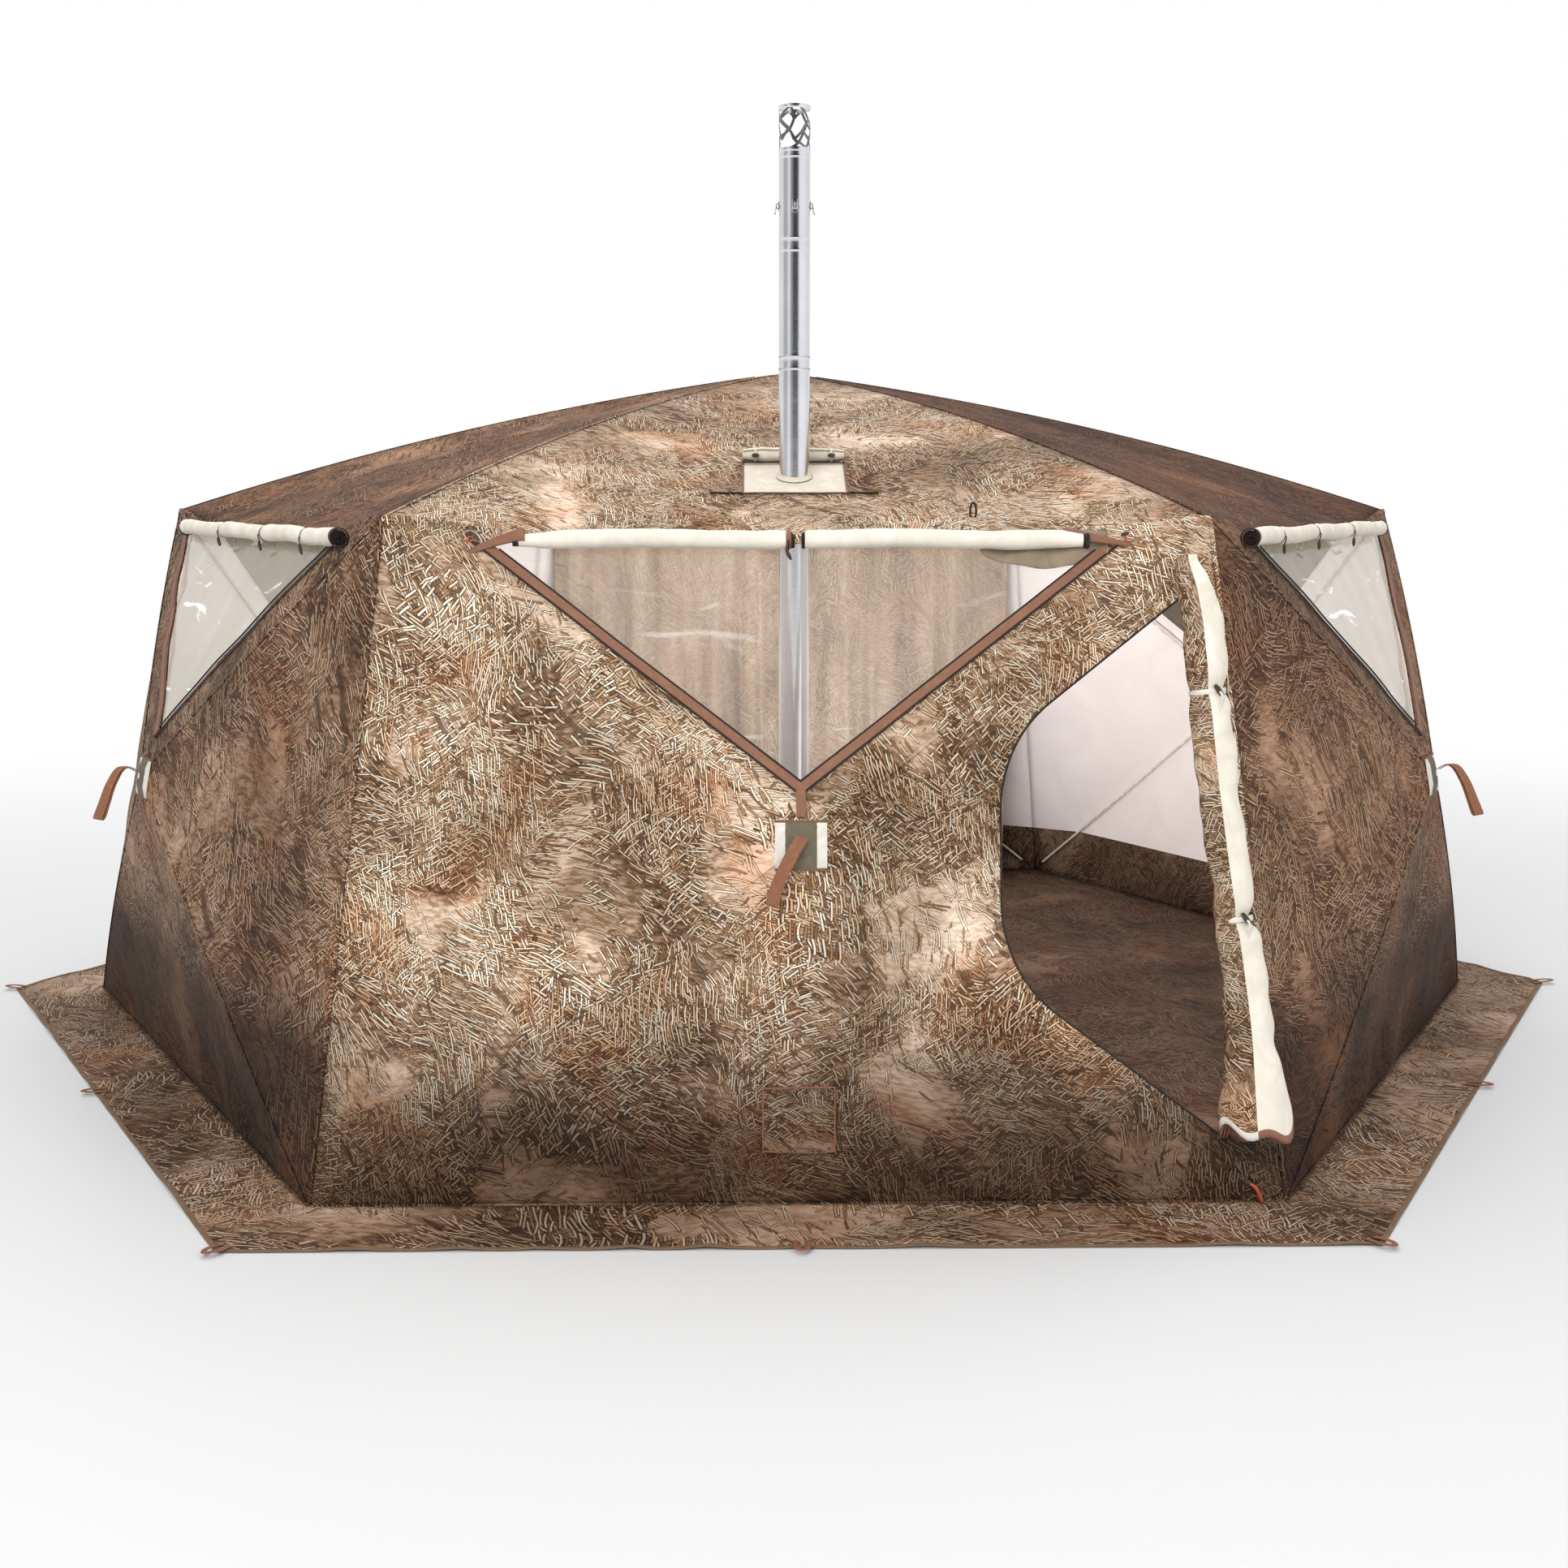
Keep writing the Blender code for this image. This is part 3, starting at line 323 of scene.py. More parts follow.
def printed(shape, panel):
    """The shape with the print of the panel that it lies on."""
    points, quads, _ = shape
    return points, quads, pattern(points, panel)[quads]


def make(name, parts, steps=0, sharp=45):
    """Object of one or more shapes, each with its material, turned to its wall."""
    mesh = bpy.data.meshes.new(name)
    points, quads, places, slots, finishes = [], [], [], [], []
    count = 0
    for (shape_points, shape_quads, shape_places), finish in parts:
        if finish not in finishes:
            finishes.append(finish)
        points.append(turned(shape_points, steps))
        quads.append(shape_quads + count)
        places.append(shape_places)
        slots.append(np.full(len(shape_quads), finishes.index(finish)))
        count += len(shape_points)
    points, quads, places = (np.concatenate(x) for x in (points, quads, places))
    mesh.from_pydata(points.tolist(), [], quads.tolist())
    mesh.uv_layers.new(name="UVMap").data.foreach_set("uv", places.astype(np.float32).ravel())
    mesh.polygons.foreach_set("material_index", np.concatenate(slots).astype(np.int32))
    for finish in finishes:
        mesh.materials.append(finish)
    shell = bmesh.new()
    shell.from_mesh(mesh)
    bmesh.ops.remove_doubles(shell, verts=shell.verts, dist=1e-6)
    bmesh.ops.dissolve_degenerate(shell, edges=shell.edges, dist=1e-7)
    shell.to_mesh(mesh)
    shell.free()
    mesh.shade_smooth()
    mesh.set_sharp_from_angle(angle=math.radians(sharp))
    item = bpy.data.objects.new(name, mesh)
    bpy.context.scene.collection.objects.link(item)
    return item


def hang(item):
    """Bakes the piece's placement into its points; it is not attached to the shell or the hub."""
    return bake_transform(item)


def lined(item, lining, thickness=0.002):
    """Gives a sheet its thickness, with the lining on its inner face."""
    item.data.materials.append(lining)
    solid = item.modifiers.new("thickness", "SOLIDIFY")
    solid.thickness = thickness
    solid.offset = -1
    solid.material_offset = 1
    return item


# Materials


def tone(red, green, blue):
    """Linear colour of an sRGB one given from 0 to 255."""
    srgb = np.array([red, green, blue]) / 255
    return (*np.where(srgb <= 0.04045, srgb / 12.92, ((srgb + 0.055) / 1.055) ** 2.4), 1.0)


def add(tree, kind, inputs=None, **settings):
    """Adds a node with its settings, and sets or links its inputs."""
    made = tree.nodes.new("ShaderNode" + kind)
    for name, value in settings.items():
        setattr(made, name, value)
    for name, value in (inputs or {}).items():
        if isinstance(value, bpy.types.NodeSocket):
            tree.links.new(value, made.inputs[name])
        else:
            made.inputs[name].default_value = value
    return made


def ramp(tree, factor, stops):
    """Colour ramp with the given places and colours."""
    made = add(tree, "ValToRGB", {"Fac": factor})
    elements = made.color_ramp.elements
    while len(elements) < len(stops):
        elements.new(0.5)
    for element, (place, colour) in zip(elements, stops):
        element.position = place
        element.color = colour
    return made.outputs["Color"]


def maths(tree, operation, *values, clamp=False):
    """Result of a maths node."""
    return add(tree, "Math", dict(enumerate(values)), operation=operation, use_clamp=clamp).outputs[0]


def times(tree, *values, clamp=False):
    """Product of two values."""
    return maths(tree, "MULTIPLY", *values, clamp=clamp)


def plus(tree, *values, clamp=False):
    """Sum of two values."""
    return maths(tree, "ADD", *values, clamp=clamp)


def minus(tree, *values):
    """Difference of two values."""
    return maths(tree, "SUBTRACT", *values)


def mixed(tree, factor, first, second, blend_type="MIX"):
    """Result of mixing two colours."""
    made = add(tree, "Mix", {0: factor, 6: first, 7: second}, data_type="RGBA", blend_type=blend_type)
    return made.outputs[2]


def between(tree, value, low, high):
    """Value taken from low..high to 0..1, and held there."""
    span = {"Value": value, "From Min": low, "From Max": high}
    return add(tree, "MapRange", span, interpolation_type="SMOOTHSTEP").outputs["Result"]


def new_group(name, inputs, outputs):
    """Empty shader node group with named sockets."""
    group = bpy.data.node_groups.new(name, "ShaderNodeTree")
    for label, kind, value in inputs:
        socket = group.interface.new_socket(label, in_out="INPUT", socket_type="NodeSocket" + kind)
        if value is not None:
            socket.default_value = value
    for label, kind in outputs:
        group.interface.new_socket(label, in_out="OUTPUT", socket_type="NodeSocket" + kind)
    return group, group.nodes.new("NodeGroupInput").outputs, group.nodes.new("NodeGroupOutput").inputs


def mottle(tree, place, scale, detail, roughness=0.5):
    """Outputs of a flat noise."""
    inputs = {"Vector": place, "Scale": scale, "Detail": detail, "Roughness": roughness}
    return add(tree, "TexNoise", inputs, noise_dimensions="2D").outputs


def channels(tree, noise):
    """Three values from the colour of a noise."""
    return add(tree, "SeparateColor", {"Color": noise["Color"]}).outputs


def warped(tree, place, scale, reach, detail):
    """A place moved by noise, up to about half the reach each way."""
    drift = mottle(tree, place, scale, detail)
    shift = add(tree, "VectorMath", {0: drift["Color"], 1: (0.5, 0.5, 0.5)}, operation="SUBTRACT")
    far = add(tree, "VectorMath", {0: shift.outputs[0], "Scale": reach}, operation="SCALE")
    return add(tree, "VectorMath", {0: place, 1: far.outputs[0]}, operation="ADD").outputs[0]


def straws(tree, place, turn, length, pitch, width, tilt, bend):
    """One layer of straws, each in its own Voronoi cell: face, shadow, tint chance and presence chance."""
    spun = add(tree, "VectorRotate", {"Vector": place, "Angle": turn}, rotation_type="Z_AXIS")
    moved = {"Vector": spun.outputs[0], "Location": (turn * 5.3, turn * 2.9, 0)}
    stretched = add(tree, "Mapping", moved | {"Scale": (1 / length, 1 / pitch, 1)}).outputs[0]
    spots = {"Vector": stretched, "Scale": 1.0, "Randomness": 0.9}
    cells = add(tree, "TexVoronoi", spots, voronoi_dimensions="2D").outputs
    chance = channels(tree, cells)
    offset = add(tree, "VectorMath", {0: stretched, 1: cells["Position"]}, operation="SUBTRACT")
    local = add(tree, "SeparateXYZ", {"Vector": offset.outputs[0]})
    x = local.outputs[0]
    slant = times(tree, minus(tree, chance[0], 0.5), tilt * length)
    arch = times(tree, minus(tree, chance[1], 0.5), bend * length)
    lean = times(tree, x, plus(tree, slant, times(tree, x, arch)))
    across = maths(tree, "ABSOLUTE", plus(tree, times(tree, local.outputs[1], pitch), lean))
    along = maths(tree, "ABSOLUTE", x)
    face = times(tree, between(tree, across, 0.5 * width, 0.3 * width), between(tree, along, 0.44, 0.36))
    shadow = times(tree, between(tree, across, 1.25 * width, 0.5 * width), between(tree, along, 0.50, 0.42))
    return face, shadow, chance[2], chance[0]


def straw_group():
    """Generic dry-grass camouflage: crossing layers of bent straws over mottled earth, with calm patches,
    darkened by its Warm shade and Shade inputs as painted shade.
    """
    group, given, results = new_group(
        "straw camouflage",
        [("Place", "Vector", None), ("Warm shade", "Float", 0.0), ("Shade", "Float", 0.0)],
        [("Color", "Color")],
    )
    place = warped(group, given["Place"], 1.7, 0.21, 1.5)
    zone = channels(group, mottle(group, given["Place"], 2.4, 3.5))
    calm = between(group, zone[1], 0.54, 0.62)
    light = between(group, zone[2], 0.38, 0.62)
    hue = mottle(group, place, 3.1, 3.5)["Fac"]
    rust = between(group, hue, 0.53, 0.68)
    grey = between(group, hue, 0.46, 0.36)
    flow = channels(group, mottle(group, place, 3.8, 1.5))
    swept = between(group, flow[0], 0.42, 0.52)
    crossed = between(group, flow[1], 0.44, 0.54)
    chipped = between(group, flow[2], 0.46, 0.56)
    grain_place = add(group, "Mapping", {"Vector": place, "Scale": (26, 90, 1)}).outputs[0]
    grain = between(group, mottle(group, grain_place, 1.0, 4.0, 0.7)["Fac"], 0.34, 0.66)
    value = plus(group, times(group, grain, 0.34), times(group, light, 0.30))
    value = plus(group, value, times(group, calm, 0.24))
    colour = ramp(group, value, [
        (0.05, tone(80, 58, 40)),
        (0.28, tone(136, 108, 84)),
        (0.52, tone(194, 167, 143)),
        (0.85, tone(232, 211, 192)),
    ])
    thinned = times(group, calm, 0.62)
    for turn, length, pitch, width, tilt, bend, kept, zone_mask in (
        (0.80, 0.048, 0.0110, 0.0040, 0.50, 0.4, 0.80, 1.0),
        (1.00, 0.260, 0.0850, 0.0130, 0.35, 0.6, 0.34, 1.0),
        (0.20, 0.120, 0.0095, 0.0036, 0.13, 0.9, 0.94, swept),
        (1.15, 0.095, 0.0095, 0.0036, 0.16, 0.8, 0.94, crossed),
        (0.50, 0.070, 0.0090, 0.0040, 0.22, 0.6, 0.88, swept),
        (1.45, 0.060, 0.0090, 0.0040, 0.24, 0.6, 0.88, crossed),
        (2.60, 0.036, 0.0110, 0.0044, 0.60, 0.4, 0.78, chipped),
    ):
        face, shadow, pick, dice = straws(group, place, turn, length, pitch, width, tilt, bend)
        share = times(group, minus(group, kept, thinned), zone_mask)
        shown = maths(group, "LESS_THAN", dice, share)
        stem = width > 0.008
        depth = 0.5 if stem else 0.9
        under = times(group, times(group, shadow, shown), depth)
        colour = mixed(group, under, colour, tone(58, 40, 26))
        straw = ramp(group, pick, [
            (0.0, tone(108, 72, 46)),
            (0.20, tone(190, 144, 100)),
            (0.42, tone(238, 206, 168)),
            (0.66, tone(252, 232, 204)),
            (1.0, tone(255, 248, 230)),
        ])
        laid = times(group, times(group, face, shown), 0.72 if stem else 0.92)
        colour = mixed(group, laid, colour, tone(104, 76, 52) if stem else straw)
    colour = mixed(group, times(group, rust, 0.5), colour, tone(242, 198, 158), "MULTIPLY")
    colour = mixed(group, times(group, grey, 0.6), colour, tone(214, 210, 202), "MULTIPLY")
    deep = mottle(group, given["Place"], 1.25, 2.5)["Fac"]
    dark_zone = times(group, between(group, deep, 0.52, 0.36), 0.42)
    colour = mixed(group, dark_zone, colour, tone(172, 156, 136), "MULTIPLY")
    dull = times(group, minus(group, 1.0, light), 0.35)
    colour = mixed(group, dull, colour, tone(176, 160, 140), "MULTIPLY")
    # Painted shade: the warm shade and the shade multiply the whole print towards warm and dark browns, so
    # that panels of one cloth stand darker as the light falls on them.
    warm_shaded = mixed(group, given["Warm shade"], colour, tone(212, 164, 120), "MULTIPLY")
    shaded = mixed(group, given["Shade"], warm_shaded, tone(120, 101, 82), "MULTIPLY")
    group.links.new(shaded, results["Color"])
    return group


def crease_group():
    """Soft creases and a fine weave in cloth: stretched noise ridges and two crossed waves."""
    group, given, results = new_group(
        "cloth creases",
        [("Place", "Vector", None), ("Scale", "Float", 3.0)],
        [("Crease", "Float"), ("Weave", "Float")],
    )
    folded = {"Vector": given["Place"], "Scale": given["Scale"], "Detail": 5.0, "Distortion": 0.6}
    folds = add(group, "TexNoise", folded)
    ridge = maths(group, "ABSOLUTE", minus(group, folds.outputs["Fac"], 0.5))
    crease = minus(group, 1.0, times(group, ridge, 4.0, clamp=True))
    warp = add(group, "TexWave", {"Vector": given["Place"], "Scale": 260.0}, bands_direction="X")
    weft = add(group, "TexWave", {"Vector": given["Place"], "Scale": 260.0}, bands_direction="Y")
    group.links.new(crease, results["Crease"])
    group.links.new(times(group, warp.outputs["Fac"], weft.outputs["Fac"]), results["Weave"])
    return group


STRAW = straw_group()
CREASES = crease_group()


def uv_place(tree):
    """The piece's own place on its cloth, in metres."""
    return add(tree, "TexCoord").outputs["UV"]


def start_material(name, roughness, **plain):
    """New material with its shader, and plain values on the shader's sockets."""
    made = bpy.data.materials.new(name)
    made.use_nodes = True
    shader = made.node_tree.nodes["Principled BSDF"]
    shader.inputs["Roughness"].default_value = roughness
    for socket, value in plain.items():
        shader.inputs[socket.replace("_", " ")].default_value = value
    return made, made.node_tree, shader.inputs


def bump(tree, sockets, height, distance, strength=1.0):
    """Sends a height to the shader's normal."""
    made = add(tree, "Bump", {"Height": height, "Distance": distance, "Strength": strength})
    tree.links.new(made.outputs[0], sockets["Normal"])


def creases(tree, place, scale):
    """The crease and weave outputs of the crease group."""
    return add(tree, "Group", {"Place": place, "Scale": scale}, node_tree=CREASES).outputs


def straw_cloth(name, warm_shade, shade, offset=(0, 0, 0), foot_shade=False, scale=1.0):
    """Camouflage cloth: the straw print on a matt weave with soft creases, darkened by painted shade: its
    warm shade, its shade and, where asked, a foot shade towards the bottom of the wall.
    """
    made, tree, sockets = start_material(name, 0.85)
    moved = {"Vector": uv_place(tree), "Location": offset, "Scale": (scale, scale, 1)}
    place = add(tree, "Mapping", moved).outputs[0]
    # Painted shade: the print darkens towards the foot of the wall, below about 0.56 m up it, where the lower
    # panel faces down.
    height = add(tree, "SeparateXYZ", {"Vector": uv_place(tree)}).outputs["Y"]
    foot = times(tree, between(tree, height, 0.56, 0.12), 0.92 if foot_shade else 0.0)
    inputs = {"Place": place, "Warm shade": warm_shade, "Shade": plus(tree, foot, shade)}
    straw = add(tree, "Group", inputs, node_tree=STRAW)
    tree.links.new(straw.outputs["Color"], sockets["Base Color"])
    found = creases(tree, place, 2.2)
    height = plus(tree, times(tree, found["Crease"], 0.8), times(tree, found["Weave"], 0.06))
    bump(tree, sockets, height, 0.006, 0.5)
    return made


def plain_cloth(name, colour, crease_shade_colour, crease_scale=4.0, roughness=0.8, depth=0.004, weave=0.08):
    """Plain cloth: its colour deepens along its creases to a darker crease colour, which is painted shade."""
    made, tree, sockets = start_material(name, roughness)
    found = creases(tree, uv_place(tree), crease_scale)
    # Painted shade: the colour deepens along the creases.
    wear_and_crease_shade = mixed(tree, times(tree, found["Crease"], 0.5), tone(*colour), tone(*crease_shade_colour))
    tree.links.new(wear_and_crease_shade, sockets["Base Color"])
    bump(tree, sockets, plus(tree, found["Crease"], times(tree, found["Weave"], weave)), depth, 0.6)
    return made


def lining_cloth():
    """White lining, with a dark straw band along the foot of the walls and painted shade along its creases.
    """
    made, tree, sockets = start_material("wall lining", 0.75)
    place = uv_place(tree)
    found = creases(tree, place, 3.0)
    # Painted shade: the white deepens along the creases.
    white = mixed(tree, times(tree, found["Crease"], 0.5), tone(242, 236, 234), tone(224, 214, 212))
    straw = add(tree, "Group", {"Place": place, "Shade": 0.9}, node_tree=STRAW)
    height = add(tree, "SeparateXYZ", {"Vector": place}).outputs["Y"]
    low = maths(tree, "LESS_THAN", height, 0.19)
    tree.links.new(mixed(tree, low, white, straw.outputs["Color"]), sockets["Base Color"])
    bump(tree, sockets, found["Crease"], 0.006, 0.5)
    return made


def curtain_cloth():
    """Thin brown cloth with a faint print, lighter on the ridges of its bumped streaks: painted light and
    shade on its folds.
    """
    made, tree, sockets = start_material("curtain cloth", 0.8)
    place = uv_place(tree)
    streaks = add(tree, "Mapping", {"Vector": place, "Scale": (7.0, 1.1, 1.0)})
    noise = add(tree, "TexNoise", {"Vector": streaks.outputs[0], "Scale": 1.0, "Detail": 4.0})
    # Painted light and shade: the streak noise that lifts the bump also lightens the colour, so fold ridges
    # stand lighter.
    browns = [(0.3, tone(122, 104, 88)), (0.5, tone(164, 144, 124)), (0.68, tone(190, 172, 152))]
    brown = ramp(tree, noise.outputs["Fac"], browns)
    straw = add(tree, "Group", {"Place": place}, node_tree=STRAW)
    tree.links.new(mixed(tree, 0.3, brown, straw.outputs["Color"]), sockets["Base Color"])
    bump(tree, sockets, noise.outputs["Fac"], 0.01, 0.5)
    return made


def film(name, tint, body, crease_scale, highlight_streaks):
    """Clear film: thin and glossy, with creases and whitish, less clear streaks that are painted highlights.
    """
    made, tree, sockets = start_material(name, 0.08, Base_Color=tint, IOR=1.45)
    place = uv_place(tree)
    found = creases(tree, place, crease_scale)
    stretched = add(tree, "Mapping", {"Vector": place, "Rotation": (0, 0, 0.35), "Scale": (1.2, 5.0, 1.0)})
    inputs = {"Vector": stretched.outputs[0], "Scale": 3.0, "Detail": 6.0, "Distortion": 1.5}
    streak = add(tree, "TexNoise", inputs)
    # Painted highlights: whitish streaks, also less clear.
    painted_highlight_streaks = between(tree, streak.outputs["Fac"], 0.60, 0.72)
    seen = plus(tree, body, times(tree, painted_highlight_streaks, highlight_streaks), clamp=True)
    tree.links.new(seen, sockets["Alpha"])
    tree.links.new(mixed(tree, painted_highlight_streaks, tint, (1, 1, 1, 1)), sockets["Base Color"])
    bump(tree, sockets, found["Crease"], 0.004, 0.3)
    return made


def lighter(colour, factor):
    """A colour made lighter, up to white."""
    return tuple(min(1, factor * part) for part in colour)


def steel(name, colour, roughness):
    """Rolled steel with fine brushing round the pipe and slight smears."""
    made, tree, sockets = start_material(name, roughness, Metallic=1.0)
    place = add(tree, "TexCoord").outputs["Object"]
    fine = add(tree, "Mapping", {"Vector": place, "Scale": (40.0, 40.0, 900.0)})
    brush = add(tree, "TexNoise", {"Vector": fine.outputs[0], "Scale": 1.0, "Detail": 2.0})
    smear = add(tree, "TexNoise", {"Vector": place, "Scale": 9.0, "Detail": 3.0})
    rough = plus(tree, roughness - 0.06, times(tree, brush.outputs["Fac"], 0.12))
    tree.links.new(rough, sockets["Roughness"])
    smeared = ramp(tree, smear.outputs["Fac"], [(0.35, colour), (0.7, lighter(colour, 1.12))])
    tree.links.new(smeared, sockets["Base Color"])
    bump(tree, sockets, brush.outputs["Fac"], 0.0004, 0.3)
    return made


def moulded(name, colour, roughness):
    """Moulded plastic with a fine spark-eroded grain."""
    made, tree, sockets = start_material(name, roughness)
    place = add(tree, "TexCoord").outputs["Object"]
    grain = add(tree, "TexNoise", {"Vector": place, "Scale": 900.0, "Detail": 2.0})
    wear = add(tree, "TexNoise", {"Vector": place, "Scale": 40.0, "Detail": 3.0})
    wear_and_crease_shade = ramp(tree, wear.outputs["Fac"], [(0.4, colour), (0.8, lighter(colour, 1.5))])
    tree.links.new(wear_and_crease_shade, sockets["Base Color"])
    bump(tree, sockets, grain.outputs["Fac"], 0.0003, 0.4)
    return made


# Warm shade and shade of the print on every wall, then on the roof panel above it: painted shade, darker on
# the side and back panels than on the front, for how the light falls on them
PRINTS = [
    (0.02, 0.0, 0.1, 0.08),
    (0.6, 0.5, 0.85, 0.76),
    (0.3, 0.25, 0.5, 0.42),
    (0.3, 0.2, 0.45, 0.35),
    (0.3, 0.25, 0.5, 0.42),
    (0.4, 0.5, 0.7, 0.55),
]
CAMOUFLAGE = []
ROOF_CAMOUFLAGE = []
for k, (warm_shade, shade, roof_warm_shade, roof_shade) in enumerate(PRINTS):
    title = "camouflage " + WALLS[k].replace("_", " ")
    place = (2.3 * k, 0.7 * k, 0)
    scale, roof_scale = (0.95, 0.85) if k in (1, 5) else (1.2, 1.2)
    CAMOUFLAGE.append(straw_cloth(title, warm_shade, shade, place, True, scale))
    ROOF_CAMOUFLAGE.append(straw_cloth("roof " + title, roof_warm_shade, roof_shade, place, scale=roof_scale))
# The skirt's warm shade and shade are painted shade, as on the walls; the door and floor prints are darkened
# by their shade values too.
SKIRT_CAMOUFLAGE = straw_cloth("skirt camouflage", 0.3, 0.46, (5, 2, 0), scale=0.78)
DOOR_CAMOUFLAGE = straw_cloth("door camouflage", 0.0, 0.15, (3, 9, 0), scale=1.5)
FLOOR_CLOTH = straw_cloth("floor cloth", 0.2, 0.85, (7, 3, 0), scale=0.9)
SEAM_CLOTH = plain_cloth("seam binding", (124, 98, 74), (88, 66, 48), 30.0)
LINING = lining_cloth()
CURTAIN = curtain_cloth()
CREAM = plain_cloth("cream lining cloth", (226, 220, 206), (188, 178, 162), 9.0, depth=0.003)
GREY_BROWN = plain_cloth("grey brown mesh cloth", (150, 134, 114), (96, 82, 66), 14.0)
TAPE = plain_cloth("brown binding tape", (140, 98, 76), (104, 70, 54), 30.0, 0.7, 0.001, 0.5)
WEBBING = plain_cloth("brown webbing", (146, 98, 72), (108, 68, 48), 50.0, 0.75, 0.001, 0.8)
ZIP = plain_cloth("black zip tape", (44, 36, 32), (22, 18, 16), 60.0, 0.6, 0.001, 0.5)
JACK_CLOTH = plain_cloth("stove jack glass cloth", (226, 216, 200), (190, 178, 160), 20.0, 0.6, 0.001, 0.8)
PATCH_CLOTH = plain_cloth("olive grey patch", (112, 104, 86), (82, 74, 60), 20.0, 0.8, 0.001, 0.6)
WHITE_TAPE = plain_cloth("off white tape", (222, 216, 206), (186, 180, 168), 30.0, 0.7, 0.001, 0.5)
FRONT_FILM = film("front window film", tone(206, 204, 196), 0.12, 2.5, 0.12)
SIDE_FILM = film("side window film", tone(166, 161, 142), 0.62, 2.5, 0.4)
STEEL = steel("rolled steel", tone(222, 223, 226), 0.18)
DARK_STEEL = steel("heat darkened steel", tone(126, 126, 128), 0.35)
HUB_PLASTIC = moulded("hub plastic", tone(30, 30, 31), 0.45)
RED_PLASTIC = moulded("red pull", tone(176, 70, 48), 0.5)
TOGGLE_PLASTIC = moulded("dark toggle", tone(58, 46, 38), 0.4)
POLE_FIBRE = moulded("glass fibre rod", tone(208, 202, 192), 0.4)


# Cloth panels


def flat_frame(panel):
    """A panel's corners in its own plane: along its edge and up to its tip."""
    a, along, rise, _ = panel_frame(panel)
    up = unit(rise)
    b, tip = PANELS[panel][1:3]
    return np.array([[(p - a) @ along, (p - a) @ up] for p in (a, b, tip)]), a, along, up


def in_plane(points, panel):
    """Points of the panel's plane in its own two directions."""
    _, a, along, up = flat_frame(panel)
    return np.stack([(points - a) @ along, (points - a) @ up], -1)


def reach_of(outline, centre, ways):
    """Distance from a centre to a convex outline along each way: the nearest edge line ahead."""
    a = outline - centre
    edge = np.roll(a, -1, 0) - a
    top = a[:, 0] * edge[:, 1] - a[:, 1] * edge[:, 0]
    low = ways[:, :1] * edge[:, 1] - ways[:, 1:] * edge[:, 0]
    found = top / np.where(abs(low) < 1e-12, 1e-12, low)
    return np.where(found > 1e-9, found, np.inf).min(1)


def whole_panel(panel, seed, rows=40, cols=64):
    """Triangle: straight lines from every point of the outer edge to the tip, then lifted."""
    a, b, tip = PANELS[panel][:3]
    up = np.linspace(0, 1, rows)
    edge = line(a, b, cols)
    points = edge[None] * (1 - up)[:, None, None] + tip * up[:, None, None]
    return faced(grid(lifted(points, panel, seed), pattern(points, panel)), panel_frame(panel)[3])


def holed_panel(panel, hole, seed, rows=12, cols=200):
    """Triangle with a convex hole: rays from the hole's middle, stepped from the hole to the outer edge."""
    outline, a, along, up = flat_frame(panel)
    inner = in_plane(hole, panel)
    centre = inner.mean(0)
    corners = np.concatenate([outline, inner]) - centre
    even = np.linspace(-math.pi, math.pi, cols, endpoint=False)
    angles = np.unique(np.concatenate([even, np.arctan2(corners[:, 1], corners[:, 0])]).round(7))
    ways = np.stack([np.cos(angles), np.sin(angles)], -1)
    near, far = reach_of(inner, centre, ways), reach_of(outline, centre, ways)
    share = np.linspace(0, 1, rows)[:, None]
    flat = centre + ways * (near + (far - near) * share)[..., None]
    points = a + flat[..., :1] * along + flat[..., 1:] * up
    uv = pattern(points, panel)
    uv = np.concatenate([uv, uv[:, :1]], 1)
    return faced(grid(lifted(points, panel, seed), uv, False, True), panel_frame(panel)[3])


def window_corners(inset=0.0):
    """Window's corners on the top panel: left, right and bottom, drawn in by an inset."""
    _, along, rise, _ = panel_frame("top")
    up = unit(rise)
    height = np.linalg.norm(rise)
    half = np.linalg.norm(TOP_RIGHT - TOP_LEFT) / 2
    lean = math.hypot(half, height)
    head = EAVE_MARGIN + inset
    point = height - (SEAM_MARGIN + inset) * lean / half
    side = (point - head) * half / height
    return HEAD + np.array([[-side], [side], [0]]) * along + np.array([[head], [head], [point]]) * up


def crossing(first, second):
    """Point where two lines of the flat wall cross, each a point and a direction."""
    (p, d), (q, e) = first, second
    along, _ = np.linalg.solve([[d[0], -e[0]], [d[1], -e[1]]], [q[0] - p[0], q[1] - p[1]])
    return np.array(p) + along * np.array(d)


def door_outline(arc=14):
    """The door hole on the flat wall: straight beside the tent's corner, rounded towards the hub."""
    tip, top, foot = (pattern(point, "right") for point in (TIP, TOP_RIGHT, BOTTOM_RIGHT))
    upper, lower, edge = unit(top - tip), unit(foot - tip), unit(top - foot)
    lines = [
        (foot + np.array([-edge[1], edge[0]]) * 0.07, edge),
        (tip + np.array([upper[1], -upper[0]]) * 0.1, upper),
        (np.array([0.44, 0]), np.array([0, 1])),
        (tip + np.array([-lower[1], lower[0]]) * 0.035, lower),
    ]
    points = [crossing(lines[k], lines[(k + 1) % 4]) for k in range(4)]
    outline = []
    for k, radius in enumerate([0.012, 0.3, 0.3, 0.05]):
        back, on = unit(points[k - 1] - points[k]), unit(points[(k + 1) % 4] - points[k])
        half = math.acos(back @ on) / 2
        centre = points[k] + unit(back + on) * radius / math.sin(half)
        start, end = points[k] + back * radius / math.tan(half), points[k] + on * radius / math.tan(half)
        t = np.linspace(0, 1, arc)[:, None]
        outline.append(centre + unit((start - centre) * (1 - t) + (end - centre) * t) * radius)
    return np.concatenate(outline)


